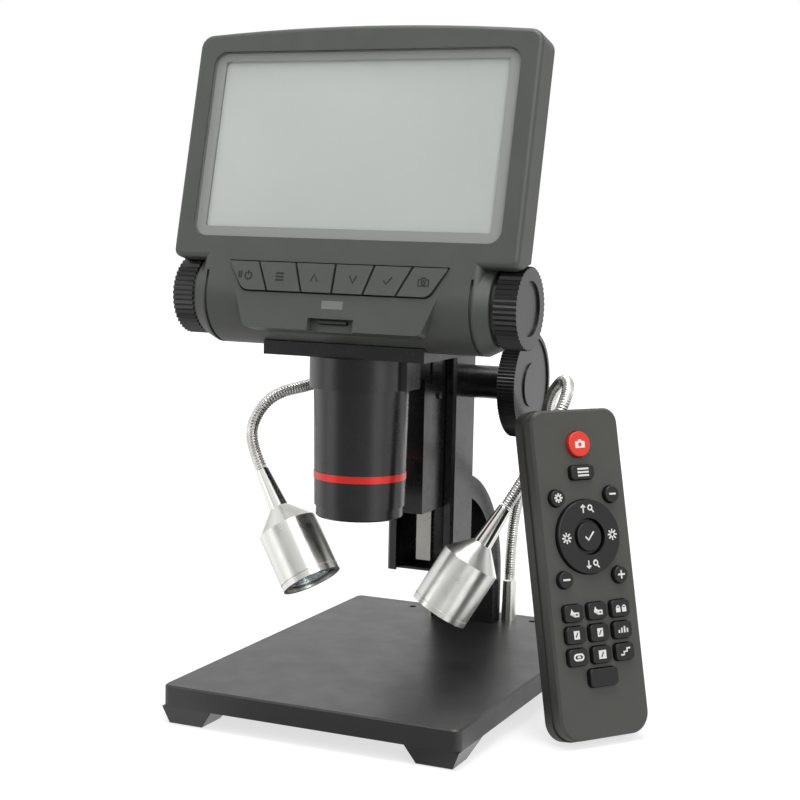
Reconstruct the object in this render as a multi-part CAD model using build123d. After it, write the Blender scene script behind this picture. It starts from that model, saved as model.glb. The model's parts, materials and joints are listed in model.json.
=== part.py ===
from build123d import *

import math
import os

# Digital microscope with a screen, on a rack-and-pinion stand with two gooseneck lamps, and its remote.
# Millimetres, +Z up, the front toward -Y. The origin is on the stage, where the optical axis meets it.

# ---- Fits and clearances ----
TURN_FIT = 0.05          # radial clearance of a shaft in its bore
SLIDE_GAP = 0.3          # gap on each side of a sliding piece
SEAT_GAP = 0.15          # gap round a piece that sits in a recess
KEY_GAP = 0.3            # gap between a key and its opening
KEY_TRAVEL = 0.8         # stroke of every key
KEY_CLEARANCE = 0.2      # space left under a fully pressed key

# ---- Gears and racks ----
PRESSURE_ANGLE = math.radians(20)
ADDENDUM = 0.82          # tooth height above the pitch line, in modules
DEDENDUM = 1.08          # tooth depth below the pitch line, in modules
TOOTH_THINNING = 0.05    # taken off each side of a tooth for running clearance
STAGE_MODULE = 0.6
FOCUS_MODULE = 0.5
PINION_TEETH = 16
RACK_BODY = 3.2          # from the back of the stage rack to its pitch line

# ---- Base plate and feet ----
PLATE_WIDTH = 116.6
PLATE_DEPTH = 164.4
PLATE_T = 7.8
AXIS_TO_PLATE_FRONT = 41.0
PLATE_CORNER_R = 3.0
PLATE_EDGE = 0.6
FOOT_WIDTH = 20.4
FOOT_DEPTH = 22.0
FOOT_H = 6.2
FOOT_TIP_WIDTH = 13.6
FOOT_TIP_DEPTH = 12.5
FOOT_TIP_INSET_X = 2.6
FOOT_TIP_INSET_Y = 1.0
PAD_T = 1.0
PAD_PROUD = 0.3
PAD_MARGIN = 1.5
CLIP_HOLE_R = 1.5
CLIP_HOLE_SPACING = 55.4
CLIP_HOLE_FROM_BACK = 8.9

# ---- Column and its curved support arm ----
COLUMN_WIDTH = 28.0
COLUMN_FRONT = 56.0
COLUMN_DEPTH = 20.0
COLUMN_BACK_WALL = 2.0
COLUMN_BOTTOM = 29.4
COLUMN_H = 106.6
COLUMN_EDGE = 1.1
ARM_T = 8.8
ARM_BEND_R = 50.0
ARM_LEG_H = 19.0
ARM_FROM_PLATE_BACK = 11.9
FOOT_SEAT = 1.0          # depth that the arm and the lamps' ferrules are set into the plate
CAP_T = 1.5
CAP_FRONT_CLEARANCE = 0.8
STOP_T = 1.0

# ---- Screws ----
SCREW_R = 1.5
SCREW_HEAD_R = 2.8
SCREW_HEAD_H = 1.8
ARM_SCREW_X = 8.0
ARM_SCREW_DEPTH = 8.0

# ---- Height drive ----
SHAFT_R = 3.0
SHAFT_Z = 106.0
HOUSING_R = 6.5
HOUSING_LENGTH = 19.9
WHEEL_R = 20.6
WHEEL_T = 7.0
WHEEL_RIDGE_COUNT = 96
WHEEL_RIDGE_DEPTH = 0.45
WHEEL_HUB_R = 8.5
WHEEL_DISH = 0.6
WHEEL_RIM = 1.8
WHEEL_WEB = 1.2          # left closed outside the shaft's end

# ---- Carriage and rack ----
CARRIAGE_WIDTH = 19.8
CARRIAGE_FRONT = 35.0
CARRIAGE_DEPTH = 25.0
CARRIAGE_BOTTOM = 57.0
CARRIAGE_H = 69.0
RIB_WIDTH = 23.4
RIB_FROM_BACK = 0.5
RIB_T = 2.0
RACK_WIDTH = 6.2
RACK_BOTTOM = 33.7
TENSION_T = 1.0
TENSION_DEPTH = 12.0
TENSION_H = 10.5
TENSION_Y = 46.0
TENSION_Z = 111.9
TENSION_SCREW_R = 1.6
TENSION_SCREW_PROUD = 0.8
TENSION_SCREW_DROP = 4.8

# ---- Head bracket and saddle ----
BRACKET_WIDTH = 63.2
BRACKET_FRONT = -16.5
BRACKET_T = 2.2
BRACKET_TOP = 122.4
LUG_WIDTH = 24.0
LUG_T = 9.2
LUG_H = 12.5
LUG_SCREW_X = 7.0
LUG_SCREW_DEPTH = 8.0
SADDLE_T = 2.8
SADDLE_WEB = 0.7         # saddle thickness under the drum
SADDLE_BACK = 16.0
SADDLE_SCREW_X = 25.0
LIGHT_R = 14.0           # clear hole along the optical axis

# ---- Lens barrel ----
COLLAR_R = 19.0
COLLAR_EAR_REACH = 20.6  # how far its clamp ear reaches from the axis
COLLAR_EAR_HALF = 6.0
COLLAR_H = 11.4
COLLAR_FLANGE = 3.2
BARREL_TOP_R = 17.4
BARREL_LOW_R = 16.6
BARREL_STEP_R = 16.0
BARREL_STEP_Z = 65.7
BARREL_BOTTOM = 61.5
BARREL_SEAT = 6.2        # length of barrel inside the collar
BARREL_EDGE = 0.5
NOSE_R = 11.0
NOSE_T = 2.0
RING_Z = 75.6
RING_W = 2.6
RING_GROOVE = 0.75
RING_PROUD = 0.17
SENSOR_T = 1.6
SENSOR_R = 15.5
LENS_CARRIAGE_R = 13.7
LENS_CARRIAGE_BORE = 10.0
LENS_CARRIAGE_BOTTOM = 70.0
LENS_CARRIAGE_H = 30.0
LENS_LIP = 0.8
LENS_T = 3.2
LENS_BULGE = 0.7
POST_X = 10.5
POST_WIDTH = 2.5
POST_T = 2.2             # from the back of the post to its pitch line
POST_TOP = 147.5
POST_TEETH_FROM = 133.0
POST_GAP = 0.5
POST_LAP = 2.0           # length of post that is one with the carriage's ring

# ---- Screen casing, in the head's own tilted frame ----
# Local x is across, local y up the screen, local z out of the screen. Its origin is the middle of the screen.
HEAD_TILT = 13.5
CASING_WIDTH = 134.0
CASING_BOTTOM = -42.3
CASING_TOP = 43.4
CASING_ARCH = 2.75
CASING_T = 15.0
CASING_SEAM = -8.0
CASING_TOP_R = 5.0
CASING_BOTTOM_R = 3.0
CASING_FRONT_EDGE = 1.8
CASING_REAR_EDGE = 2.5
FRONT_WALL = 3.0
SIDE_WALL = 2.2
REAR_WALL = 2.0
BEZEL_SIDE = 7.1
WINDOW_H = 68.6
WINDOW_R = 5.0
GLASS_T = 1.5
GLASS_RECESS = 0.5
VIEW_LEDGE_X = 3.9       # what the wall behind the window hides of the screen at each side
VIEW_LEDGE_Y = 2.7
VIEW_R = 3.0
LCD_SIDE_GAP = 0.4
LCD_END_GAP = 0.55
LCD_T = 3.6
CASE_SCREW_INSET = 4.7
CASE_SCREW_Y = 30.0
CASE_SCREW_R = 1.1
CASE_SCREW_HEAD_R = 2.0
CASE_SCREW_HEAD_H = 1.5
CASE_BOSS_R = 2.6
CASE_SCREW_GRIP = 4.0    # thread length in the front shell

# ---- Drum under the screen ----
DRUM_Y = -7.4
DRUM_R = 17.2
DRUM_WALL = 2.2
DRUM_LOCAL_Y = -52.8
DRUM_TAPER = 4.5
DRUM_END_R = 15.0
DRUM_END_WALL = 5.0
DRUM_GROOVE_INSET = 1.2
DRUM_GROOVE_W = 1.0
DRUM_GROOVE_DEPTH = 0.8
DRUM_GROOVE_TOP = -46.0
BLOCK_INSET = 3.0
BLOCK_CAVITY_INSET = 0.5
BLOCK_LAP = 4.0
BLOCK_CORNER_R = 3.0
APRON_INSET = 10.6
APRON_TOP = -47.0
APRON_FLARE = 7.6        # how much narrower each half of the apron is at its foot
APRON_BOTTOM = -67.0
APRON_CORNER_R = 3.0
APRON_CAVITY_R = 1.0
CAVITY_STEP = 0.1        # between the floors of two hollows that meet
SCREW_BOSS_R = 3.0
SCREW_BOSS_H = 5.0
SCREW_BOSS_SINK = 1.0    # depth that a boss is sunk into its wall, and left over its screw

# ---- Boards and sockets in the head ----
BOARD_T = 1.6
BOARD_SIDE_GAP = 11.0
BOARD_H = 64.0
BOARD_POST_R = 2.5
BOARD_POST_H = 3.0
BOARD_POST_INSET = 6.0
BOARD_POST_Y = 27.0
POWER_X = -40.0
POWER_Y = -25.0
POWER_WIDTH = 9.0
POWER_H = 3.4
POWER_CORNER_R = 1.2
POWER_WALL = 0.5
POWER_TONGUE_WIDTH = 6.0
POWER_TONGUE_H = 0.8
POWER_TONGUE_INSET = 1.0  # how far its contact tongue stands back from the shell's mouth
KEY_BOARD_T = 1.2
KEY_BOARD_SIDE_GAP = 4.0
KEY_BOARD_TOP = -43.0
KEY_BOARD_H = 11.0
KEY_POST_INSET = 1.5
KEY_POST_R = 1.4
SWITCH_SIZE = 3.5
SWITCH_H = 0.9

# ---- Keys under the screen ----
KEY_NODES = ("key_power", "key_menu", "key_up", "key_down", "key_confirm", "key_snapshot")
KEY_ROW_OVER = 0.5       # how far the row's top reaches past the apron's corner
KEY_ROW_FLARE = 6.4      # how much narrower each half of the row is at its foot
KEY_SHARES_TOP = (-1.0, -0.717, -0.37, 0.0, 0.351, 0.691, 1.0)
KEY_SHARES_LOW = (-1.0, -0.728, -0.347, -0.014, 0.319, 0.667, 1.0)
KEY_SPLIT_GAP = 0.9
KEY_ROW_GAP = 0.5        # gap round the whole row
KEY_ROW_TOP = -43.4
KEY_ROW_LOW = -53.6
KEY_PROUD = 0.8
KEY_FLANGE_T = 0.7
KEY_FLANGE_LAP = 0.9
KEY_CORNER_R = 4.0

# ---- Infrared window and memory card ----
IR_WIDTH = 8.2
IR_TOP = -56.3
IR_H = 2.9
IR_T = 1.5
SLOT_WIDTH = 17.6
SLOT_TOP = -62.6
SLOT_DEPTH = 3.0
SLOT_BACKING = 2.0
CARD_WIDTH = 11.0
CARD_T = 0.8
CARD_LENGTH = 15.0
CARD_Y = -63.7
CARD_PROUD = 1.5
SOCKET_WIDTH = 14.0
SOCKET_T = 2.2
SOCKET_LENGTH = 12.0

# ---- Focus drive ----
FOCUS_SHAFT_R = 2.5
KNOB_R = 14.5
KNOB_T = 9.5
KNOB_GAP = 0.3
KNOB_RIDGE_COUNT = 46
KNOB_RIDGE_DEPTH = 0.7
KNOB_COLLAR = 1.3
KNOB_DISH_R = 9.6
KNOB_DISH = 0.8
KNOB_WEB = 0.8           # left closed between the shaft's end and the dish
KNOB_CLEARANCE = 0.8     # radial space round each knob under the casing
KNOB_INSET = 0.2         # from the casing's side to the knob's end

# ---- Lamps ----
LAMP_FOOT_X = 17.3
LAMP_FOOT_FROM_BACK = 10.0
FERRULE_R = 3.27
FERRULE_TOP_R = 2.95
FERRULE_H = 17.0
GOOSENECK_R = 2.35
NECK_GAP = 0.5           # between a gooseneck's end and its ferrule, or the lamp that turns on it
SLEEVE_TOP_R = 2.6
SLEEVE_CHAMFER = 0.6
SLEEVE_LOW_R = 3.75
SLEEVE_LENGTH = 17.0
LAMP_CONE = 8.0
LAMP_R = 11.3
LAMP_BODY = 22.5
LAMP_RIM = 2.0
LAMP_GROOVE_W = 0.5
LAMP_GROOVE_DEPTH = 0.4
LAMP_WALL = 1.6
LAMP_LENS_RECESS = 1.2
LAMP_LENS_T = 2.5
LAMP_CAVITY = 18.0
LED_BOARD_T = 1.6
LED_R = 2.5
LED_H = 1.5

# ---- Remote control, in its own leaning frame ----
# Local x is across, local y up its back, local z out of its keys. Its origin is mid back lower edge.
REMOTE_TURN = 53.4       # how far its face is turned to the right of the front
REMOTE_LEAN = 13.9
REMOTE_ALONG = 64.7      # its middle line, measured across from the stage's middle
REMOTE_REST_GAP = 0.3    # between its back and the gooseneck that it leans on
REMOTE_WIDTH = 39.0
REMOTE_H = 118.4
REMOTE_T = 10.6
REMOTE_SEAM = 5.2
REMOTE_STEP = 0.5
REMOTE_WALL = 1.8
REMOTE_BACK_WALL = 1.6
REMOTE_FRONT_WALL = 1.6
REMOTE_TOP_R = 6.0
REMOTE_LOW_R = 8.0
REMOTE_EDGE = 0.8
REMOTE_BOARD_Z = 5.6
REMOTE_BOARD_T = 1.2
REMOTE_BOARD_GAP = 0.4
REMOTE_POST_R = 2.0
REMOTE_POST_INSET = 7.0
MAT_T = 1.2
MAT_KEY_PROUD = 2.0
REMOTE_KEY_PROUD = 1.8
REMOTE_KEY_EDGE = 0.4    # rounding of a key's top edge
REMOTE_KEY_LIP = 0.6
REMOTE_KEY_LIP_T = 1.0
# Each key's place is (x, distance below the remote's top).
RED_KEY = (0.0, 13.3)
RED_KEY_R = 4.6
RING_KEY = (0.0, 46.6)
RING_KEY_R = 13.3
RING_KEY_BORE_R = 6.6
CENTRE_KEY_R = 6.2
CENTRE_KEY_TOP_R = 5.2
CENTRE_KEY_TOP_H = 1.6   # height of its narrower top
MENU_KEY = (0.0, 23.5)
MENU_KEY_SIZE = (10.0, 5.0)
SIDE_KEYS = ((-11.8, 32.1), (11.8, 32.1), (-11.9, 61.2), (11.9, 61.2))
SIDE_KEY_R = 3.0
PAD_COLUMNS = (-10.1, 0.0, 10.1)
PAD_ROWS = (73.1, 80.8, 88.6)
PAD_KEY_SIZE = (8.0, 6.0)
LAST_KEY = (0.0, 96.5)
LAST_KEY_SIZE = (12.0, 6.3)
PAD_KEY_CORNER = 1.5

# ---- Worked out from the sizes above ----
PLATE_HALF = PLATE_WIDTH / 2
PLATE_FRONT = -AXIS_TO_PLATE_FRONT
PLATE_BACK = PLATE_FRONT + PLATE_DEPTH
TABLE_Z = -(PLATE_T + FOOT_H + PAD_PROUD)
COLUMN_BACK = COLUMN_FRONT + COLUMN_DEPTH
COLUMN_TOP = COLUMN_BOTTOM + COLUMN_H
SLOT_HALF = CARRIAGE_WIDTH / 2 + SLIDE_GAP
CARRIAGE_BACK = CARRIAGE_FRONT + CARRIAGE_DEPTH
CARRIAGE_TOP = CARRIAGE_BOTTOM + CARRIAGE_H
RIB_BACK = CARRIAGE_BACK - RIB_FROM_BACK
ARM_BACK = PLATE_BACK - ARM_FROM_PLATE_BACK
ARM_BEND_Y = ARM_BACK - ARM_BEND_R
RACK_PITCH_Y = CARRIAGE_BACK + RACK_BODY
STAGE_PINION_R = STAGE_MODULE * PINION_TEETH / 2
FOCUS_PINION_R = FOCUS_MODULE * PINION_TEETH / 2
SHAFT_Y = RACK_PITCH_Y + STAGE_PINION_R
WHEEL_X = COLUMN_WIDTH / 2 + HOUSING_LENGTH + SLIDE_GAP
BRACKET_BOTTOM = BRACKET_TOP - BRACKET_T
LUG_FRONT = CARRIAGE_FRONT - LUG_T
COLLAR_BOTTOM = BRACKET_BOTTOM - COLLAR_H
BARREL_TOP = COLLAR_BOTTOM + BARREL_SEAT
DRUM_Z = BRACKET_TOP + SADDLE_WEB + DRUM_R
DRUM_LOCAL_Z = -DRUM_R
POST_PITCH_Y = DRUM_Y + FOCUS_PINION_R
POST_BACK_Y = POST_PITCH_Y + POST_T
KEY_FLOOR = -(FRONT_WALL + KEY_GAP + KEY_FLANGE_T)
SWITCH_TOP = KEY_FLOOR - KEY_TRAVEL - KEY_CLEARANCE
KEY_BOARD_FRONT = SWITCH_TOP - SWITCH_H
BOARD_REAR = -(CASING_T - REAR_WALL - BOARD_POST_H)
LAMP_LENGTH = SLEEVE_LENGTH + LAMP_CONE + LAMP_BODY
LAMP_FOOT_Y = PLATE_BACK - LAMP_FOOT_FROM_BACK
NECK_FOOT_Z = FERRULE_H + NECK_GAP
LEFT_ROUTE = (
    (-LAMP_FOOT_X, LAMP_FOOT_Y, NECK_FOOT_Z),
    (-LAMP_FOOT_X, LAMP_FOOT_Y, 38.0),
    (-18.5, 110.5, 72.0),
    (-21.5, 92.0, 100.0),
    (-25.5, 66.0, 110.0),
    (-29.0, 42.0, 108.0),
    (-33.5, 24.0, 105.0),
    (-42.5, 11.5, 102.5),
    (-48.6, 6.8, 92.8),
    (-48.4, 5.3, 82.8),
    (-43.1, 3.8, 74.8),
)
RIGHT_ROUTE = (
    (LAMP_FOOT_X, LAMP_FOOT_Y, NECK_FOOT_Z),
    (LAMP_FOOT_X, LAMP_FOOT_Y, 30.0),
    (20.5, 110.5, 52.0),
    (32.0, 99.0, 73.5),
    (45.5, 77.0, 82.5),
    (48.0, 67.5, 101.0),
    (57.5, 59.0, 111.0),
    (65.0, 43.5, 108.0),
    (62.2, 33.7, 94.5),
    (52.5, 39.7, 78.6),
    (44.4, 35.4, 63.6),
)
BOARD_TOP_Z = REMOTE_BOARD_Z + REMOTE_BOARD_T
REMOTE_KEY_FLOOR = REMOTE_T - REMOTE_FRONT_WALL - KEY_GAP - REMOTE_KEY_LIP_T

CASE_SCREW_X = CASING_WIDTH / 2 - CASE_SCREW_INSET
WINDOW_WIDTH = CASING_WIDTH - 2 * BEZEL_SIDE
LCD_WIDTH = WINDOW_WIDTH - 2 * LCD_SIDE_GAP
LCD_H = WINDOW_H - 2 * LCD_END_GAP
BOARD_WIDTH = CASING_WIDTH - 2 * BOARD_SIDE_GAP
BOARD_POST_X = BOARD_WIDTH / 2 - BOARD_POST_INSET
KNOB_X = CASING_WIDTH / 2 - KNOB_INSET - KNOB_T
DRUM_END = KNOB_X - KNOB_GAP
DRUM_HALF = DRUM_END - DRUM_TAPER
DRUM_CAVITY_HALF = DRUM_END - DRUM_END_WALL
DRUM_GROOVE_X = DRUM_HALF - DRUM_GROOVE_INSET
BLOCK_HALF = DRUM_END - BLOCK_INSET
APRON_TOP_HALF = DRUM_HALF - APRON_INSET
APRON_BOTTOM_HALF = APRON_TOP_HALF - APRON_FLARE
KEY_ROW_HALF = APRON_TOP_HALF + KEY_ROW_OVER
KEY_SPLITS_TOP = tuple(share * KEY_ROW_HALF for share in KEY_SHARES_TOP)
KEY_SPLITS_LOW = tuple(share * (KEY_ROW_HALF - KEY_ROW_FLARE) for share in KEY_SHARES_LOW)
KEY_BOARD_WIDTH = 2 * (DRUM_CAVITY_HALF - KEY_BOARD_SIDE_GAP)
KEY_POST_X = KEY_BOARD_WIDTH / 2 - KEY_POST_INSET

TILT = math.radians(HEAD_TILT)
HEAD_UP = Vector(0, math.sin(TILT), math.cos(TILT))
HEAD_OUT = Vector(0, -math.cos(TILT), math.sin(TILT))
HEAD = Plane(
    origin=Vector(0, DRUM_Y, DRUM_Z) - HEAD_UP * DRUM_LOCAL_Y - HEAD_OUT * DRUM_LOCAL_Z,
    x_dir=(1, 0, 0),
    z_dir=HEAD_OUT,
)
BIG = 300.0              # larger than the whole object, for cutting regions apart


# ---- Helpers ----
def box_between(x0, x1, y0, y1, z0, z1):
    """Box with the given limits along each axis."""
    return Pos((x0 + x1) / 2, (y0 + y1) / 2, (z0 + z1) / 2) * Box(x1 - x0, y1 - y0, z1 - z0)


def rod_x(radius, x0, x1, y, z):
    """Cylinder along X."""
    return Pos((x0 + x1) / 2, y, z) * Rot(0, 90, 0) * Cylinder(radius, x1 - x0)


def rod_y(radius, y0, y1, x, z):
    """Cylinder along Y."""
    return Pos(x, (y0 + y1) / 2, z) * Rot(90, 0, 0) * Cylinder(radius, y1 - y0)


def rod_z(radius, z0, z1, x=0.0, y=0.0):
    """Cylinder along Z."""
    return Pos(x, y, (z0 + z1) / 2) * Cylinder(radius, z1 - z0)


def turned(points):
    """Solid of revolution about Z from a closed outline of (radius, height) points."""
    return revolve(Plane.XZ * make_face(Polyline(*points, close=True)), Axis.Z)


def polar(radius, angle):
    return (radius * math.cos(angle), radius * math.sin(angle))


def pad_face(width, depth, corner):
    """Rectangle with rounded corners, centred on its frame's origin."""
    return RectangleRounded(width, depth, corner)


def ridged_disc(radius, depth, ridges, thickness):
    """Disc standing on the XY plane, with pointed ridges round its rim."""
    step = 2 * math.pi / ridges
    rim = []
    for i in range(ridges):
        rim.append(polar(radius, i * step))
        rim.append(polar(radius - depth, (i + 0.5) * step))
    return extrude(make_face(Polyline(*rim, close=True)), thickness)


def pinion_face(module, teeth):
    """Spur gear outline with involute flanks and a gap on the local X axis at both sides."""
    pitch_r = module * teeth / 2
    base_r = pitch_r * math.cos(PRESSURE_ANGLE)
    tip_r = pitch_r + ADDENDUM * module
    root_r = pitch_r - DEDENDUM * module
    step = 2 * math.pi / teeth

    def half_tooth(radius):
        spread = math.acos(min(1.0, base_r / radius))
        lean = (math.tan(PRESSURE_ANGLE) - PRESSURE_ANGLE) - (math.tan(spread) - spread)
        return step / 4 - TOOTH_THINNING / pitch_r + lean

    radii = [base_r + (tip_r - base_r) * i / 3 for i in range(4)]
    foot = half_tooth(base_r)
    edges = []
    for i in range(teeth):
        middle = (i + 0.5) * step
        rising = [polar(r, middle - half_tooth(r)) for r in radii]
        falling = [polar(r, middle + half_tooth(r)) for r in reversed(radii)]
        foot_out = polar(root_r, middle + foot)
        next_foot = polar(root_r, middle + step - foot)
        edges.append(Line(polar(root_r, middle - foot), rising[0]))
        edges.append(Spline(*rising))
        edges.append(ThreePointArc(rising[-1], polar(tip_r, middle), falling[0]))
        edges.append(Spline(*falling))
        edges.append(Line(falling[-1], foot_out))
        edges.append(ThreePointArc(foot_out, polar(root_r, middle + step / 2), next_foot))
    return make_face(edges)


def rack_face(back, pitch_line, low, high, teeth_low, tooth_middle, module):
    """Rack seen from the side, in the YZ plane, with its teeth away from its back."""
    side = 1 if pitch_line > back else -1
    tip = pitch_line + side * ADDENDUM * module
    root = pitch_line - side * DEDENDUM * module
    pitch = math.pi * module
    slope = math.tan(PRESSURE_ANGLE)
    half_tip = pitch / 4 - TOOTH_THINNING - ADDENDUM * module * slope
    half_root = pitch / 4 - TOOTH_THINNING + DEDENDUM * module * slope
    first = math.ceil((teeth_low - tooth_middle + half_root) / pitch)
    last = math.floor((high - tooth_middle - half_root) / pitch)
    outline = [(back, low), (root, low)]
    for i in range(first, last + 1):
        z = tooth_middle + i * pitch
        outline += [(root, z - half_root), (tip, z - half_tip), (tip, z + half_tip), (root, z + half_root)]
    outline += [(root, high), (back, high)]
    return Plane.YZ * make_face(Polyline(*outline, close=True))


# ---- Stand ----
def foot_places():
    """Each foot as (side, end, outer x, outer y): side and end are +1 or -1."""
    for side in (-1, 1):
        for end, edge in ((-1, PLATE_FRONT), (1, PLATE_BACK)):
            yield side, end, side * PLATE_HALF, edge


def clip_hole_places():
    return [(side * CLIP_HOLE_SPACING / 2, PLATE_BACK - CLIP_HOLE_FROM_BACK) for side in (-1, 1)]


def arm_screw_places():
    return [(side * ARM_SCREW_X, ARM_BACK - ARM_T / 2) for side in (-1, 1)]


def countersunk_from_below(radius, head_r, z0, length, x, y):
    """Screw or its seat: a conical head with its face at z0, and a shank going up."""
    cone_h = head_r - radius
    profile = [(0, 0), (head_r, 0), (radius, cone_h), (radius, length), (0, length)]
    return Pos(x, y, z0) * turned(profile)


def make_base_plate():
    middle_y = (PLATE_FRONT + PLATE_BACK) / 2
    plate = Pos(0, middle_y, -PLATE_T) * extrude(pad_face(PLATE_WIDTH, PLATE_DEPTH, PLATE_CORNER_R), PLATE_T)
    plate = chamfer(plate.edges().group_by(Axis.Z)[-1], PLATE_EDGE)
    for x, y in clip_hole_places():
        plate -= rod_z(CLIP_HOLE_R, -PLATE_T, 0, x, y)
    for x, y in arm_screw_places():
        plate -= countersunk_from_below(SCREW_R, SCREW_HEAD_R, -PLATE_T, PLATE_T, x, y)
    for side in (-1, 1):
        plate -= rod_z(FERRULE_R + TURN_FIT, -FOOT_SEAT, 0, side * LAMP_FOOT_X, LAMP_FOOT_Y)
    half = COLUMN_WIDTH / 2 + SEAT_GAP
    front = ARM_BACK - ARM_T - SEAT_GAP
    return plate - box_between(-half, half, front, ARM_BACK + SEAT_GAP, -FOOT_SEAT, 0)


def foot_tip_centre(side, end, outer_x, outer_y):
    x = outer_x - side * (FOOT_TIP_INSET_X + FOOT_TIP_WIDTH / 2)
    y = outer_y - end * (FOOT_TIP_INSET_Y + FOOT_TIP_DEPTH / 2)
    return x, y


def make_foot_pads():
    pads = []
    for place in foot_places():
        x, y = foot_tip_centre(*place)
        width = FOOT_TIP_WIDTH - 2 * PAD_MARGIN
        depth = FOOT_TIP_DEPTH - 2 * PAD_MARGIN
        pads.append(Pos(x, y, TABLE_Z) * extrude(Rectangle(width, depth), PAD_T))
    return pads


def make_base_feet(pads):
    feet = []
    for place, pad in zip(foot_places(), pads):
        side, end, outer_x, outer_y = place
        top_x = outer_x - side * FOOT_WIDTH / 2
        top_y = outer_y - end * FOOT_DEPTH / 2
        tip_x, tip_y = foot_tip_centre(*place)
        top = Pos(top_x, top_y, -PLATE_T) * Rectangle(FOOT_WIDTH, FOOT_DEPTH)
        tip = Pos(tip_x, tip_y, -PLATE_T - FOOT_H) * Rectangle(FOOT_TIP_WIDTH, FOOT_TIP_DEPTH)
        feet.append(loft([top, tip]) - pad)
    return feet


def arm_screw_height():
    """Height of the middle of the arm where the column's screws end in it."""
    run = COLUMN_BACK + ARM_SCREW_DEPTH / 2 - ARM_BEND_Y
    return ARM_LEG_H + math.sqrt((ARM_BEND_R - ARM_T / 2) ** 2 - run ** 2)


def make_support_arm():
    """Flat bar that rises behind the column and curves forward onto its back."""
    half = COLUMN_WIDTH / 2
    leg = box_between(-half, half, ARM_BACK - ARM_T, ARM_BACK, -FOOT_SEAT, ARM_LEG_H)
    ring = rod_x(ARM_BEND_R, -half, half, ARM_BEND_Y, ARM_LEG_H)
    ring -= rod_x(ARM_BEND_R - ARM_T, -half, half, ARM_BEND_Y, ARM_LEG_H)
    reach = box_between(-half, half, COLUMN_BACK, ARM_BACK, ARM_LEG_H, ARM_LEG_H + ARM_BEND_R)
    arm = leg + (ring & reach)
    for x, y in arm_screw_places():
        arm -= rod_z(SCREW_R, -FOOT_SEAT, ARM_SCREW_DEPTH, x, y)
    for side in (-1, 1):
        x = side * ARM_SCREW_X / 2
        arm -= rod_y(SCREW_R, COLUMN_BACK, COLUMN_BACK + ARM_SCREW_DEPTH, x, arm_screw_height())
    return arm


def make_column():
    """Channel open to the front, with a guide groove in each side wall."""
    half = COLUMN_WIDTH / 2
    slot_back = COLUMN_BACK - COLUMN_BACK_WALL
    groove_half = RIB_WIDTH / 2 + SLIDE_GAP
    groove_front = RIB_BACK - RIB_T - SLIDE_GAP
    column = box_between(-half, half, COLUMN_FRONT, COLUMN_BACK, COLUMN_BOTTOM, COLUMN_TOP)
    front = column.edges().filter_by(Axis.Z).group_by(Axis.Y)[0]
    column = chamfer(front, COLUMN_EDGE)
    column -= box_between(-SLOT_HALF, SLOT_HALF, COLUMN_FRONT, slot_back, COLUMN_BOTTOM, COLUMN_TOP)
    groove_back = RIB_BACK + SLIDE_GAP
    column -= box_between(-groove_half, groove_half, groove_front, groove_back, COLUMN_BOTTOM, COLUMN_TOP)
    column -= rod_x(SHAFT_R + TURN_FIT, -half, half, SHAFT_Y, SHAFT_Z)
    for side in (-1, 1):
        column -= rod_y(SCREW_R, slot_back, COLUMN_BACK, side * ARM_SCREW_X / 2, arm_screw_height())
    return column


def make_column_caps():
    """Bar over the column's top, behind the rack, and the stop plate at its bottom."""
    half = COLUMN_WIDTH / 2
    slot_back = COLUMN_BACK - COLUMN_BACK_WALL
    rack_tip = RACK_PITCH_Y + ADDENDUM * STAGE_MODULE
    cap_front = rack_tip + CAP_FRONT_CLEARANCE
    cap = box_between(-half, half, cap_front, COLUMN_BACK, COLUMN_TOP, COLUMN_TOP + CAP_T)
    cap += box_between(-SLOT_HALF, SLOT_HALF, cap_front, slot_back, COLUMN_TOP - 2 * CAP_T, COLUMN_TOP)
    stop = box_between(-SLOT_HALF, SLOT_HALF, CARRIAGE_BACK, slot_back, COLUMN_BOTTOM, COLUMN_BOTTOM + STOP_T)
    return [cap, stop]


def make_stand_screws():
    screws = []
    for x, y in arm_screw_places():
        screws.append(countersunk_from_below(SCREW_R, SCREW_HEAD_R, -PLATE_T, PLATE_T + ARM_SCREW_DEPTH, x, y))
    slot_back = COLUMN_BACK - COLUMN_BACK_WALL
    for side in (-1, 1):
        x = side * ARM_SCREW_X / 2
        z = arm_screw_height()
        shank = rod_y(SCREW_R, slot_back, COLUMN_BACK + ARM_SCREW_DEPTH, x, z)
        screws.append(shank + rod_y(SCREW_HEAD_R, slot_back - SCREW_HEAD_H, slot_back, x, z))
    return screws


def make_pinion_housing():
    start = COLUMN_WIDTH / 2
    tube = rod_x(HOUSING_R, start, start + HOUSING_LENGTH, SHAFT_Y, SHAFT_Z)
    return tube - rod_x(SHAFT_R + TURN_FIT, start, start + HOUSING_LENGTH, SHAFT_Y, SHAFT_Z)


# ---- Height drive ----
def make_pinion_shaft():
    start = -COLUMN_WIDTH / 2
    end = WHEEL_X + WHEEL_T - WHEEL_WEB
    gear = extrude(Plane.YZ * pinion_face(STAGE_MODULE, PINION_TEETH), RACK_WIDTH / 2, both=True)
    gear = Pos(0, SHAFT_Y, SHAFT_Z) * gear
    return rod_x(SHAFT_R, start, end, SHAFT_Y, SHAFT_Z) + gear


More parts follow.
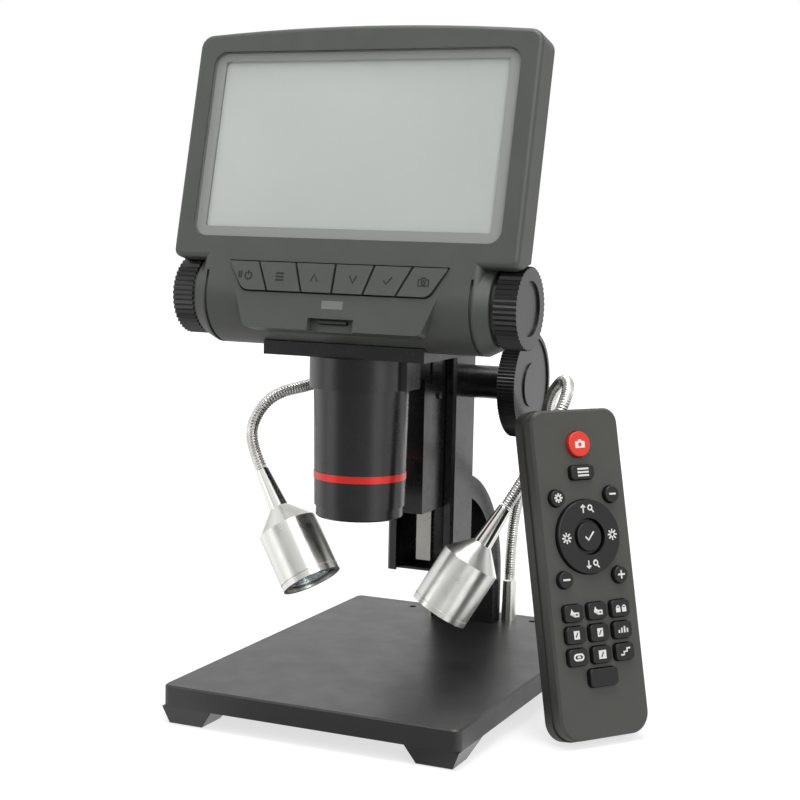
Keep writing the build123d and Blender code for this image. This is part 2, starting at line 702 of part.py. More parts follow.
def make_height_wheel():
    """Knurled wheel with a shallow dish round a plain hub on its outer face."""
    wheel = ridged_disc(WHEEL_R, WHEEL_RIDGE_DEPTH, WHEEL_RIDGE_COUNT, WHEEL_T)
    rim_r = WHEEL_R - WHEEL_RIM
    dish = rod_z(rim_r, WHEEL_T - WHEEL_DISH, WHEEL_T) - rod_z(WHEEL_HUB_R, WHEEL_T - WHEEL_DISH, WHEEL_T)
    wheel -= dish
    wheel -= rod_z(SHAFT_R, 0, WHEEL_T - WHEEL_WEB)
    return Pos(WHEEL_X, SHAFT_Y, SHAFT_Z) * Rot(0, 90, 0) * wheel


# ---- Carriage, rack and bracket ----
def make_carriage():
    half = CARRIAGE_WIDTH / 2
    body = box_between(-half, half, CARRIAGE_FRONT, CARRIAGE_BACK, CARRIAGE_BOTTOM, CARRIAGE_TOP)
    ribs = box_between(
        -RIB_WIDTH / 2, RIB_WIDTH / 2, RIB_BACK - RIB_T, RIB_BACK, CARRIAGE_BOTTOM, CARRIAGE_TOP)
    carriage = body + ribs
    for side in (-1, 1):
        x = side * LUG_SCREW_X
        carriage -= rod_y(SCREW_R, CARRIAGE_FRONT, CARRIAGE_FRONT + LUG_SCREW_DEPTH, x, lug_screw_height())
    return carriage


def lug_screw_height():
    return BRACKET_TOP - LUG_H / 2


def make_rack():
    half = RACK_WIDTH / 2
    face = rack_face(
        CARRIAGE_BACK, RACK_PITCH_Y, RACK_BOTTOM, CARRIAGE_TOP, RACK_BOTTOM, SHAFT_Z, STAGE_MODULE)
    return extrude(face, half, both=True)


def make_head_bracket():
    half = BRACKET_WIDTH / 2
    plate = box_between(-half, half, BRACKET_FRONT, LUG_FRONT, BRACKET_BOTTOM, BRACKET_TOP)
    lug = box_between(
        -LUG_WIDTH / 2, LUG_WIDTH / 2, LUG_FRONT, CARRIAGE_FRONT, BRACKET_TOP - LUG_H, BRACKET_TOP)
    bracket = plate + lug - rod_z(LIGHT_R, BRACKET_BOTTOM, BRACKET_TOP)
    for side in (-1, 1):
        bracket -= rod_y(SCREW_R, LUG_FRONT, CARRIAGE_FRONT, side * LUG_SCREW_X, lug_screw_height())
        bracket -= saddle_screw(side)
    return bracket


def saddle_screw(side):
    """Countersunk screw through the bracket and saddle into a boss in the drum."""
    top = BRACKET_TOP + SADDLE_WEB + DRUM_WALL + SCREW_BOSS_H - SCREW_BOSS_SINK
    x = side * SADDLE_SCREW_X
    return countersunk_from_below(SCREW_R, SCREW_HEAD_R, BRACKET_BOTTOM, top - BRACKET_BOTTOM, x, DRUM_Y)


def make_saddle_plate():
    """Plate on the bracket, hollowed along its length to seat the drum."""
    half = BRACKET_WIDTH / 2
    saddle = box_between(-half, half, BRACKET_FRONT, SADDLE_BACK, BRACKET_TOP, BRACKET_TOP + SADDLE_T)
    saddle -= rod_x(DRUM_R + TURN_FIT, -half, half, DRUM_Y, DRUM_Z)
    saddle -= rod_z(LIGHT_R, BRACKET_TOP, BRACKET_TOP + SADDLE_T)
    for side in (-1, 1):
        saddle -= saddle_screw(side)
    return saddle


def make_bracket_screws():
    screws = [saddle_screw(side) for side in (-1, 1)]
    for side in (-1, 1):
        x = side * LUG_SCREW_X
        z = lug_screw_height()
        shank = rod_y(SCREW_R, LUG_FRONT, CARRIAGE_FRONT + LUG_SCREW_DEPTH, x, z)
        screws.append(shank + rod_y(SCREW_HEAD_R, LUG_FRONT - SCREW_HEAD_H, LUG_FRONT, x, z))
    return screws


def make_tension_block():
    """Friction block on the carriage's right side, with its round adjuster below."""
    x0 = CARRIAGE_WIDTH / 2
    low = TENSION_Z - TENSION_H / 2
    block = box_between(
        x0, x0 + TENSION_T, TENSION_Y - TENSION_DEPTH / 2, TENSION_Y + TENSION_DEPTH / 2, low, low + TENSION_H)
    adjuster_y = TENSION_Y + TENSION_DEPTH / 4
    adjuster_z = low - TENSION_SCREW_DROP
    return [block, rod_x(TENSION_SCREW_R, x0, x0 + TENSION_SCREW_PROUD, adjuster_y, adjuster_z)]


# ---- Lens barrel ----
def post_slot(low, high):
    """Clear way for the lens post, with a gap on every side."""
    front = POST_PITCH_Y - ADDENDUM * FOCUS_MODULE
    return box_between(
        POST_X - POST_GAP, POST_X + POST_WIDTH + POST_GAP, front - POST_GAP, POST_BACK_Y + POST_GAP, low, high)


def make_lens_collar():
    collar = rod_z(COLLAR_R, COLLAR_BOTTOM, BRACKET_BOTTOM)
    collar += box_between(
        0, COLLAR_EAR_REACH, -COLLAR_EAR_HALF, COLLAR_EAR_HALF, COLLAR_BOTTOM, BRACKET_BOTTOM)
    collar -= rod_z(BARREL_TOP_R + TURN_FIT, COLLAR_BOTTOM, BRACKET_BOTTOM - COLLAR_FLANGE)
    return collar - rod_z(LIGHT_R, COLLAR_BOTTOM, BRACKET_BOTTOM)


def barrel_radius(z):
    """Outer radius of the barrel's taper at a height."""
    share = (z - BARREL_STEP_Z) / (COLLAR_BOTTOM - BARREL_STEP_Z)
    return BARREL_LOW_R + (BARREL_TOP_R - BARREL_LOW_R) * share


def make_lens_barrel():
    lip_top = BARREL_BOTTOM + NOSE_T
    outline = [
        (NOSE_R, BARREL_BOTTOM),
        (BARREL_STEP_R - BARREL_EDGE, BARREL_BOTTOM),
        (BARREL_STEP_R, BARREL_BOTTOM + BARREL_EDGE),
        (BARREL_STEP_R, BARREL_STEP_Z),
        (BARREL_LOW_R, BARREL_STEP_Z),
        (BARREL_TOP_R, COLLAR_BOTTOM),
        (BARREL_TOP_R, BARREL_TOP),
        (LIGHT_R, BARREL_TOP),
        (LIGHT_R, lip_top),
        (NOSE_R, lip_top),
    ]
    groove_r = barrel_radius(RING_Z) - RING_GROOVE
    groove = rod_z(BARREL_TOP_R + 1, RING_Z, RING_Z + RING_W) - rod_z(groove_r, RING_Z, RING_Z + RING_W)
    return turned(outline) - groove


def make_barrel_ring():
    inner = barrel_radius(RING_Z) - RING_GROOVE + TURN_FIT
    outer = barrel_radius(RING_Z + RING_W) + RING_PROUD
    return rod_z(outer, RING_Z, RING_Z + RING_W) - rod_z(inner, RING_Z, RING_Z + RING_W)


def make_sensor_board():
    board = rod_z(SENSOR_R, BARREL_TOP, BARREL_TOP + SENSOR_T)
    return board - post_slot(BARREL_TOP, BARREL_TOP + SENSOR_T)


def make_lens_carriage():
    """Ring that carries the objective, with a toothed post up into the drum."""
    top = LENS_CARRIAGE_BOTTOM + LENS_CARRIAGE_H
    ring = rod_z(LENS_CARRIAGE_R, LENS_CARRIAGE_BOTTOM, top)
    ring -= rod_z(LENS_CARRIAGE_BORE, LENS_CARRIAGE_BOTTOM + LENS_LIP, top)
    ring -= rod_z(LENS_CARRIAGE_BORE - LENS_LIP, LENS_CARRIAGE_BOTTOM, top)
    profile = rack_face(
        POST_BACK_Y, POST_PITCH_Y, top - POST_LAP, POST_TOP, POST_TEETH_FROM, DRUM_Z, FOCUS_MODULE)
    return ring + Pos(POST_X, 0, 0) * extrude(profile, POST_WIDTH)


def make_objective_lens():
    seat = LENS_CARRIAGE_BOTTOM + LENS_LIP
    rim = LENS_CARRIAGE_BORE - TURN_FIT
    bulge_r = LENS_CARRIAGE_BORE - 2 * LENS_LIP
    lens = make_face([
        Line((0, seat + LENS_T), (0, seat - LENS_BULGE)),
        ThreePointArc(
            (0, seat - LENS_BULGE), (bulge_r / 2, seat - LENS_BULGE * 0.75), (bulge_r, seat)),
        Line((bulge_r, seat), (rim, seat)),
        Line((rim, seat), (rim, seat + LENS_T)),
        Line((rim, seat + LENS_T), (0, seat + LENS_T)),
    ])
    return revolve(Plane.XZ * lens, Axis.Z)


# ---- Screen casing ----
def casing_face(inset=0.0):
    """Outline of the screen casing: straight sides, arched top, rounded corners."""
    half = CASING_WIDTH / 2 - inset
    bottom = CASING_BOTTOM + inset
    shoulder = CASING_TOP - CASING_ARCH - inset
    face = make_face([
        Line((-half, bottom), (half, bottom)),
        Line((half, bottom), (half, shoulder)),
        ThreePointArc((half, shoulder), (0, CASING_TOP - inset), (-half, shoulder)),
        Line((-half, shoulder), (-half, bottom)),
    ])
    face = fillet(face.vertices().group_by(Axis.Y)[-1], CASING_TOP_R - inset)
    low = face.vertices().group_by(Axis.Y)[0]
    return fillet(low, max(CASING_BOTTOM_R - inset, CASING_BOTTOM_R / 4))


def slab(face, low, high):
    """Face on the local XY plane, extruded between two heights."""
    return Pos(0, 0, low) * extrude(face, high - low)


def drum_rod(radius, x0, x1):
    return rod_x(radius, x0, x1, DRUM_LOCAL_Y, DRUM_LOCAL_Z)


def trapezoid(top_half, top, low_half, low, corner):
    """Apron outline, wider at its top, with rounded lower corners."""
    corners = ((-top_half, top), (-low_half, low), (low_half, low), (top_half, top))
    face = make_face(Polyline(*corners, close=True))
    return fillet(face.vertices().group_by(Axis.Y)[0], corner)


def drum_outer():
    drum = drum_rod(DRUM_R, -DRUM_HALF, DRUM_HALF)
    for side in (-1, 1):
        cone = Cone(DRUM_R, DRUM_END_R, DRUM_END - DRUM_HALF)
        middle = side * (DRUM_HALF + DRUM_END) / 2
        drum += Pos(middle, DRUM_LOCAL_Y, DRUM_LOCAL_Z) * Rot(0, side * 90, 0) * cone
    return drum


def casing_outer():
    """Screen casing, drum, the block that joins them and the apron over the drum's front."""
    body = slab(casing_face(), -CASING_T, 0)
    body = fillet(body.edges().group_by(Axis.Z)[-1], CASING_FRONT_EDGE)
    body = chamfer(body.edges().group_by(Axis.Z)[0], CASING_REAR_EDGE)
    body -= knob_room()
    block = box_between(-BLOCK_HALF, BLOCK_HALF, DRUM_LOCAL_Y, CASING_BOTTOM + BLOCK_LAP, DRUM_LOCAL_Z, 0)
    block = fillet(block.edges().filter_by(Axis.Y).group_by(Axis.Z)[-1], BLOCK_CORNER_R)
    apron = slab(
        trapezoid(APRON_TOP_HALF, APRON_TOP, APRON_BOTTOM_HALF, APRON_BOTTOM, APRON_CORNER_R), DRUM_LOCAL_Z, 0)
    return body + block + drum_outer() + apron - drum_grooves()


def knob_room():
    """Space for each focus knob under the casing's lower corners."""
    radius = KNOB_R + KNOB_CLEARANCE
    outer = CASING_WIDTH / 2
    return drum_rod(radius, DRUM_END, outer) + drum_rod(radius, -outer, -DRUM_END)


def drum_grooves():
    cuts = []
    for side in (-1, 1):
        x0 = side * DRUM_GROOVE_X - DRUM_GROOVE_W / 2
        x1 = side * DRUM_GROOVE_X + DRUM_GROOVE_W / 2
        ring = drum_rod(DRUM_R + 1, x0, x1) - drum_rod(DRUM_R - DRUM_GROOVE_DEPTH, x0, x1)
        cuts.append(ring & box_between(x0, x1, -BIG, DRUM_GROOVE_TOP, -BIG, BIG))
    return cuts[0] + cuts[1]


def slot_backing():
    """Wall left thick behind the card slot."""
    half = SLOT_WIDTH / 2 + DRUM_WALL
    low = APRON_BOTTOM + SIDE_WALL
    return box_between(-half, half, low, SLOT_TOP + SIDE_WALL, -FRONT_WALL - SLOT_BACKING, -FRONT_WALL)


def casing_cavity():
    """Hollow of the casing, the block, the drum and the apron."""
    upper = slab(casing_face(SIDE_WALL), -CASING_T + REAR_WALL, -FRONT_WALL)
    over_knob = DRUM_LOCAL_Y + KNOB_R + KNOB_CLEARANCE + DRUM_WALL
    outer = CASING_WIDTH / 2
    inner = DRUM_END - DRUM_WALL
    for x0, x1 in ((-outer, -inner), (inner, outer)):
        upper -= box_between(x0, x1, CASING_BOTTOM, over_knob, -CASING_T, 0)
    drum = drum_rod(DRUM_R - DRUM_WALL, -DRUM_CAVITY_HALF, DRUM_CAVITY_HALF)
    half = DRUM_CAVITY_HALF - BLOCK_CAVITY_INSET
    block_top = CASING_BOTTOM + SIDE_WALL + CAVITY_STEP
    block = box_between(-half, half, DRUM_LOCAL_Y, block_top, DRUM_LOCAL_Z, -FRONT_WALL)
    top_half = APRON_TOP_HALF - SIDE_WALL
    low_half = APRON_BOTTOM_HALF - SIDE_WALL
    apron = trapezoid(top_half, APRON_TOP, low_half, APRON_BOTTOM + SIDE_WALL, APRON_CAVITY_R)
    return upper + drum + block + (slab(apron, DRUM_LOCAL_Z, -FRONT_WALL) - slot_backing())


def front_region():
    """Everything in front of the seam between the two shells."""
    upper = box_between(-BIG, BIG, CASING_BOTTOM, BIG, CASING_SEAM, BIG)
    return upper + box_between(-BIG, BIG, -BIG, CASING_BOTTOM, DRUM_LOCAL_Z, BIG)


def window_face(inset=0.0):
    return pad_face(WINDOW_WIDTH - 2 * inset, WINDOW_H - 2 * inset, WINDOW_R - inset)


def key_face(first, last, margin, gap):
    """Outline of the keys from one split to another, grown by a margin at its free edges."""
    top = KEY_ROW_TOP + margin
    low = KEY_ROW_LOW - margin
    left_gap = -margin if first == 0 else gap / 2
    right_gap = -margin if last == len(KEY_SPLITS_TOP) - 1 else gap / 2
    points = [
        (KEY_SPLITS_TOP[first] + left_gap, top),
        (KEY_SPLITS_LOW[first] + left_gap, low),
        (KEY_SPLITS_LOW[last] - right_gap, low),
        (KEY_SPLITS_TOP[last] - right_gap, top),
    ]
    face = make_face(Polyline(*points, close=True))
    low_corners = face.vertices().group_by(Axis.Y)[0].sort_by(Axis.X)
    if first == 0:
        face = fillet(low_corners[0], KEY_CORNER_R)
    if last == len(KEY_SPLITS_TOP) - 1:
        face = fillet(face.vertices().group_by(Axis.Y)[0].sort_by(Axis.X)[-1], KEY_CORNER_R)
    return face


def case_screw_places():
    return [(sx * CASE_SCREW_X, sy * CASE_SCREW_Y) for sx in (-1, 1) for sy in (-1, 1)]


def card_cut(margin):
    """Flat way for the memory card, through the apron's wall."""
    half = CARD_WIDTH / 2 + margin
    return box_between(
        -half, half, CARD_Y - CARD_T / 2 - margin, CARD_Y + CARD_T / 2 + margin, DRUM_LOCAL_Z, 0)


def make_front_bezel(outer, cavity):
    bezel = (outer - cavity) & front_region()
    for x, y in case_screw_places():
        bezel += rod_z(CASE_BOSS_R, CASING_SEAM, -FRONT_WALL, x, y)
        bezel -= rod_z(CASE_SCREW_R, CASING_SEAM, CASING_SEAM + CASE_SCREW_GRIP, x, y)
    for side in (-1, 1):
        post_y = KEY_BOARD_TOP - KEY_BOARD_H / 2
        bezel += rod_z(KEY_POST_R, KEY_BOARD_FRONT, -FRONT_WALL, side * KEY_POST_X, post_y)
    bezel -= slab(window_face(), -GLASS_RECESS - GLASS_T, 0)
    view = pad_face(WINDOW_WIDTH - 2 * VIEW_LEDGE_X, WINDOW_H - 2 * VIEW_LEDGE_Y, VIEW_R)
    bezel -= slab(view, -FRONT_WALL, 0)
    bezel -= slab(key_face(0, len(KEY_NODES), KEY_ROW_GAP, 0), -2 * FRONT_WALL, 1)
    bezel -= box_between(-IR_WIDTH / 2, IR_WIDTH / 2, IR_TOP - IR_H, IR_TOP, -IR_T, 0)
    slot_half = SLOT_WIDTH / 2
    bezel -= box_between(-slot_half, slot_half, APRON_BOTTOM - 1, SLOT_TOP, -SLOT_DEPTH, 0)
    bezel -= card_cut(SEAT_GAP)
    return bezel - drum_rod(FOCUS_SHAFT_R + TURN_FIT, -DRUM_END, DRUM_END)


def make_rear_cover(outer, cavity):
    cover = (outer - cavity) - front_region()
    for x, y in case_screw_places():
        cover += rod_z(CASE_BOSS_R, -CASING_T + REAR_WALL / 2, CASING_SEAM, x, y)
        cover -= rod_z(CASE_SCREW_R, -CASING_T, CASING_SEAM, x, y)
        cover -= rod_z(CASE_SCREW_HEAD_R, -CASING_T, -CASING_T + CASE_SCREW_HEAD_H, x, y)
    for x, y in board_post_places():
        cover += rod_z(BOARD_POST_R, -CASING_T + REAR_WALL / 2, BOARD_REAR, x, y)
    cover -= Pos(POWER_X, POWER_Y, 0) * slab(power_face(), -CASING_T, BOARD_REAR)
    cover -= drum_rod(FOCUS_SHAFT_R + TURN_FIT, -DRUM_END, DRUM_END)
    cover = HEAD * cover
    inside = BRACKET_TOP + SADDLE_WEB + DRUM_WALL
    for side in (-1, 1):
        x = side * SADDLE_SCREW_X
        cover += rod_z(SCREW_BOSS_R, inside - SCREW_BOSS_SINK, inside + SCREW_BOSS_H, x, DRUM_Y)
        cover -= saddle_screw(side)
    return cover - post_slot(BRACKET_TOP, DRUM_Z - FOCUS_PINION_R)


def board_post_places():
    return [(sx * BOARD_POST_X, sy * BOARD_POST_Y) for sx in (-1, 1) for sy in (-1, 1)]


def power_face(inset=0.0):
    """Outline of the flat power socket."""
    return pad_face(POWER_WIDTH - 2 * inset, POWER_H - 2 * inset, POWER_CORNER_R - inset)


def make_main_board():
    """Circuit board on the rear cover's posts, with the power socket on its back."""
    board = slab(Rectangle(BOARD_WIDTH, BOARD_H), BOARD_REAR, BOARD_REAR + BOARD_T)
    socket = slab(power_face(SEAT_GAP), -CASING_T, BOARD_REAR)
    socket -= slab(power_face(SEAT_GAP + POWER_WALL), -CASING_T, BOARD_REAR)
    tongue = Rectangle(POWER_TONGUE_WIDTH, POWER_TONGUE_H)
    socket += slab(tongue, -CASING_T + POWER_TONGUE_INSET, BOARD_REAR)
    return board + Pos(POWER_X, POWER_Y, 0) * socket


def make_key_board():
    """Strip of circuit board with one push switch behind each key."""
    low = KEY_BOARD_TOP - KEY_BOARD_H
    half = KEY_BOARD_WIDTH / 2
    board = box_between(-half, half, low, KEY_BOARD_TOP, KEY_BOARD_FRONT - KEY_BOARD_T, KEY_BOARD_FRONT)
    switch_y = (KEY_ROW_TOP + KEY_ROW_LOW) / 2
    for i in range(len(KEY_NODES)):
        ends = KEY_SPLITS_TOP[i:i + 2] + KEY_SPLITS_LOW[i:i + 2]
        x = sum(ends) / 4
        place = Pos(x, switch_y, (KEY_BOARD_FRONT + SWITCH_TOP) / 2)
        board += place * Box(SWITCH_SIZE, SWITCH_SIZE, SWITCH_H)
    return board


def make_case_screws():
    screws = []
    for x, y in case_screw_places():
        shank = rod_z(CASE_SCREW_R, -CASING_T + CASE_SCREW_HEAD_H, CASING_SEAM + CASE_SCREW_GRIP, x, y)
        screws.append(shank + rod_z(CASE_SCREW_HEAD_R, -CASING_T, -CASING_T + CASE_SCREW_HEAD_H, x, y))
    return screws


def make_key(i):
    """One key: its cap through the opening, and a lip behind the wall that keeps it in."""
    cap = slab(key_face(i, i + 1, 0, KEY_SPLIT_GAP), KEY_FLOOR, KEY_PROUD)
    lip = key_face(i, i + 1, KEY_FLANGE_LAP, KEY_SPLIT_GAP)
    return cap + slab(lip, KEY_FLOOR, KEY_FLOOR + KEY_FLANGE_T)


def make_screen_window():
    return slab(window_face(SEAT_GAP), -GLASS_RECESS - GLASS_T, -GLASS_RECESS)


def make_lcd_panel():
    return slab(Rectangle(LCD_WIDTH, LCD_H), -FRONT_WALL - LCD_T, -FRONT_WALL)


def make_ir_window():
    half = IR_WIDTH / 2
    return box_between(-half, half, IR_TOP - IR_H, IR_TOP, -IR_T, 0)


def make_card_socket():
    floor = APRON_BOTTOM + SIDE_WALL
    front = -FRONT_WALL - SLOT_BACKING
    half = SOCKET_WIDTH / 2
    socket = box_between(-half, half, floor, floor + SOCKET_T, front - SOCKET_LENGTH, front)
    return socket - card_cut(SEAT_GAP)


def make_memory_card():
    half = CARD_WIDTH / 2
    front = -CARD_PROUD
    return box_between(-half, half, CARD_Y - CARD_T / 2, CARD_Y + CARD_T / 2, front - CARD_LENGTH, front)


# ---- Focus drive ----
def make_focus_shaft():
    end = KNOB_X + KNOB_T - KNOB_DISH - KNOB_WEB
    teeth = pinion_face(FOCUS_MODULE, PINION_TEETH)
    gear = Pos(POST_X, DRUM_Y, DRUM_Z) * extrude(Plane.YZ * teeth, POST_WIDTH)
    return rod_x(FOCUS_SHAFT_R, -end, end, DRUM_Y, DRUM_Z) + gear


def make_focus_knob(side):
    """Ridged knob with a plain collar next to the drum and a dished end."""
    ridged = ridged_disc(KNOB_R, KNOB_RIDGE_DEPTH, KNOB_RIDGE_COUNT, KNOB_T - KNOB_COLLAR)
    ridged = Pos(0, 0, KNOB_COLLAR) * ridged
    knob = ridged + rod_z(KNOB_R - KNOB_RIDGE_DEPTH, 0, KNOB_COLLAR)
    knob -= rod_z(KNOB_DISH_R, KNOB_T - KNOB_DISH, KNOB_T)
    knob -= rod_z(FOCUS_SHAFT_R, 0, KNOB_T - KNOB_DISH - KNOB_WEB)
    return Pos(side * KNOB_X, DRUM_Y, DRUM_Z) * Rot(0, side * 90, 0) * knob


# ---- Lamps ----
def make_ferrule(side):
    """Tapered fitting, set into the plate, that carries a gooseneck."""
    outline = [
        (0, -FOOT_SEAT),
        (FERRULE_R, -FOOT_SEAT),
        (FERRULE_R, 0),
        (FERRULE_TOP_R, FERRULE_H),
        (0, FERRULE_H),
    ]
    return Pos(side * LAMP_FOOT_X, LAMP_FOOT_Y, 0) * turned(outline)


def corner_radii(route):
    """Largest arc that each corner's two runs allow."""
    radii = []
    for before, corner, after in zip(route, route[1:], route[2:]):
        arriving = Vector(*corner) - Vector(*before)
        leaving = Vector(*after) - Vector(*corner)
        half_turn = math.radians(arriving.get_angle(leaving)) / 2
        radii.append(0.45 * min(arriving.length, leaving.length) / math.tan(half_turn))
    return radii


def neck_path(route):
    return FilletPolyline(*route, radius=corner_radii(route))


def make_gooseneck(route):
    path = neck_path(route)
    return sweep(Plane(origin=path @ 0, z_dir=path % 0) * Circle(GOOSENECK_R), path=path)


def lamp_frame(route):
    """Frame at the gooseneck's end, its Z along the lamp."""
    end = Vector(*route[-1])
    return Plane(origin=end, z_dir=end - Vector(*route[-2]))


def make_lamp_sleeve(frame):
    outline = [
        (0, NECK_GAP),
        (SLEEVE_TOP_R - SLEEVE_CHAMFER, NECK_GAP),
        (SLEEVE_TOP_R, NECK_GAP + SLEEVE_CHAMFER),
        (SLEEVE_LOW_R, SLEEVE_LENGTH),
        (0, SLEEVE_LENGTH),
    ]
    return frame * turned(outline)


def make_lamp_shell(frame):
    """Cone and cylinder with a thin groove behind the rim, hollow from the front."""
    shoulder = SLEEVE_LENGTH + LAMP_CONE
    groove = LAMP_LENGTH - LAMP_RIM
    bore = LAMP_R - LAMP_WALL
    outline = [
        (0, SLEEVE_LENGTH),
        (SLEEVE_LOW_R, SLEEVE_LENGTH),
        (LAMP_R, shoulder),
        (LAMP_R, groove - LAMP_GROOVE_W),
        (LAMP_R - LAMP_GROOVE_DEPTH, groove - LAMP_GROOVE_W),
        (LAMP_R - LAMP_GROOVE_DEPTH, groove),
        (LAMP_R, groove),
        (LAMP_R, LAMP_LENGTH),
        (bore, LAMP_LENGTH),
        (bore, LAMP_LENGTH - LAMP_CAVITY),
        (0, LAMP_LENGTH - LAMP_CAVITY),
    ]
    return frame * turned(outline)


def make_lamp_lens(frame):
    front = LAMP_LENGTH - LAMP_LENS_RECESS
    return frame * rod_z(LAMP_R - LAMP_WALL, front - LAMP_LENS_T, front)


def make_lamp_led(frame):
    """Round board at the bottom of the lamp's bore, with the emitter on it."""
    floor = LAMP_LENGTH - LAMP_CAVITY
    board = rod_z(LAMP_R - LAMP_WALL, floor, floor + LED_BOARD_T)
    return frame * (board + rod_z(LED_R, floor + LED_BOARD_T, floor + LED_BOARD_T + LED_H))


# ---- Remote control ----
def remote_frame():
    """Frame of the remote, standing on the table with its back against the right gooseneck."""
    turn = math.radians(REMOTE_TURN)
    lean = math.radians(REMOTE_LEAN)
    across = Vector(math.cos(turn), math.sin(turn), 0)
    ahead = Vector(math.sin(turn), -math.cos(turn), 0)
    out = ahead * math.cos(lean) + Vector(0, 0, math.sin(lean))
    top = TABLE_Z + REMOTE_H * math.cos(lean)
    path = neck_path(RIGHT_ROUTE)
    samples = [path @ (i / 400) for i in range(401)]
    reach = max(point.dot(out) for point in samples if point.Z < top)
    offset = (reach + GOOSENECK_R + REMOTE_REST_GAP - TABLE_Z * math.sin(lean)) / math.cos(lean)
    origin = across * REMOTE_ALONG + ahead * offset + Vector(0, 0, TABLE_Z)
    return Plane(origin=origin, x_dir=across, z_dir=out)


def remote_face(inset=0.0):
    """Outline of the remote, rounder at its lower end."""
    width = REMOTE_WIDTH - 2 * inset
    height = REMOTE_H - 2 * inset
    face = Pos(0, REMOTE_H / 2, 0) * Rectangle(width, height)
    face = fillet(face.vertices().group_by(Axis.Y)[-1], REMOTE_TOP_R - inset)
    return fillet(face.vertices().group_by(Axis.Y)[0], REMOTE_LOW_R - inset)


def remote_post_places():
    x = REMOTE_WIDTH / 2 - REMOTE_POST_INSET
    return [(sx * x, y) for sx in (-1, 1) for y in (REMOTE_POST_INSET, REMOTE_H - REMOTE_POST_INSET)]


def make_remote_back_shell():
    shell = slab(remote_face(), 0, REMOTE_SEAM)
    shell = chamfer(shell.edges().group_by(Axis.Z)[0], REMOTE_EDGE)
    shell -= slab(remote_face(REMOTE_WALL), REMOTE_BACK_WALL, REMOTE_SEAM)
    for x, y in remote_post_places():
        shell += rod_z(REMOTE_POST_R, REMOTE_BACK_WALL / 2, REMOTE_BOARD_Z, x, y)
    return shell


def round_key(place, radius, low, high):
    x, drop = place
    return rod_z(radius, low, high, x, REMOTE_H - drop)


def flat_key(place, size, low, high, margin=0.0):
    x, drop = place
    width, height = size
    face = pad_face(width + 2 * margin, height + 2 * margin, PAD_KEY_CORNER + margin)
    return Pos(x, REMOTE_H - drop, 0) * slab(face, low, high)


def mat_keys(low, high, margin=0.0):
    """Keys that are moulded in one with the mat, or with a margin their openings."""
    keys = [round_key(place, SIDE_KEY_R + margin, low, high) for place in SIDE_KEYS]
    keys.append(flat_key(MENU_KEY, MENU_KEY_SIZE, low, high, margin))
    keys.append(flat_key(LAST_KEY, LAST_KEY_SIZE, low, high, margin))
    for x in PAD_COLUMNS:
        for drop in PAD_ROWS:
            keys.append(flat_key((x, drop), PAD_KEY_SIZE, low, high, margin))
    return keys


def make_remote_front_shell():
    shell = slab(remote_face(REMOTE_STEP), REMOTE_SEAM, REMOTE_T)
    shell = chamfer(shell.edges().group_by(Axis.Z)[-1], REMOTE_EDGE)
    shell -= slab(remote_face(REMOTE_STEP + REMOTE_WALL), REMOTE_SEAM, REMOTE_T - REMOTE_FRONT_WALL)
    for opening in mat_keys(REMOTE_SEAM, REMOTE_T + 1, KEY_GAP):
        shell -= opening
    shell -= round_key(RED_KEY, RED_KEY_R + KEY_GAP, REMOTE_SEAM, REMOTE_T + 1)
    return shell - round_key(RING_KEY, RING_KEY_R + KEY_GAP, REMOTE_SEAM, REMOTE_T + 1)


def make_remote_board():
    inset = REMOTE_WALL + REMOTE_STEP + REMOTE_BOARD_GAP
    return slab(remote_face(inset), REMOTE_BOARD_Z, BOARD_TOP_Z)


def make_remote_keypad():
    """Rubber mat with its own keys, cut away round the three separate keys."""
    inset = REMOTE_WALL + REMOTE_STEP + REMOTE_BOARD_GAP
    mat = slab(remote_face(inset), BOARD_TOP_Z, BOARD_TOP_Z + MAT_T)
    for key in mat_keys(BOARD_TOP_Z, REMOTE_T + MAT_KEY_PROUD):
        mat += rounded_top(key)
    margin = REMOTE_KEY_LIP + KEY_GAP
    mat -= round_key(RED_KEY, RED_KEY_R + margin, BOARD_TOP_Z, REMOTE_T)
    return mat - round_key(RING_KEY, RING_KEY_R + margin, BOARD_TOP_Z, REMOTE_T)


def rounded_top(key):
    return fillet(key.edges().group_by(Axis.Z)[-1], REMOTE_KEY_EDGE)


def lipped_key(place, radius):
    """Round key with a lip behind the front wall."""
    key = rounded_top(round_key(place, radius, REMOTE_KEY_FLOOR, REMOTE_T + REMOTE_KEY_PROUD))
    lip_top = REMOTE_KEY_FLOOR + REMOTE_KEY_LIP_T
    return key + round_key(place, radius + REMOTE_KEY_LIP, REMOTE_KEY_FLOOR, lip_top)


def make_remote_ring_key():
    bore = round_key(RING_KEY, RING_KEY_BORE_R, REMOTE_KEY_FLOOR, REMOTE_T + REMOTE_KEY_PROUD)
    return lipped_key(RING_KEY, RING_KEY_R) - bore


def make_remote_centre_key():
    top = REMOTE_T + REMOTE_KEY_PROUD
    key = round_key(RING_KEY, CENTRE_KEY_R, REMOTE_KEY_FLOOR, top - CENTRE_KEY_TOP_H)
    return key + rounded_top(round_key(RING_KEY, CENTRE_KEY_TOP_R, REMOTE_KEY_FLOOR, top))


# ---- The whole object ----
def stand_nodes():
    pads = make_foot_pads()
    return {
        "base_plate": make_base_plate(),
        "base_feet": make_base_feet(pads),
        "foot_pads": pads,
        "support_arm": make_support_arm(),
        "column": make_column(),
        "column_caps": make_column_caps(),
        "stand_screws": make_stand_screws(),
        "pinion_housing": make_pinion_housing(),
        "pinion_shaft": make_pinion_shaft(),
        "height_wheel": make_height_wheel(),
    }


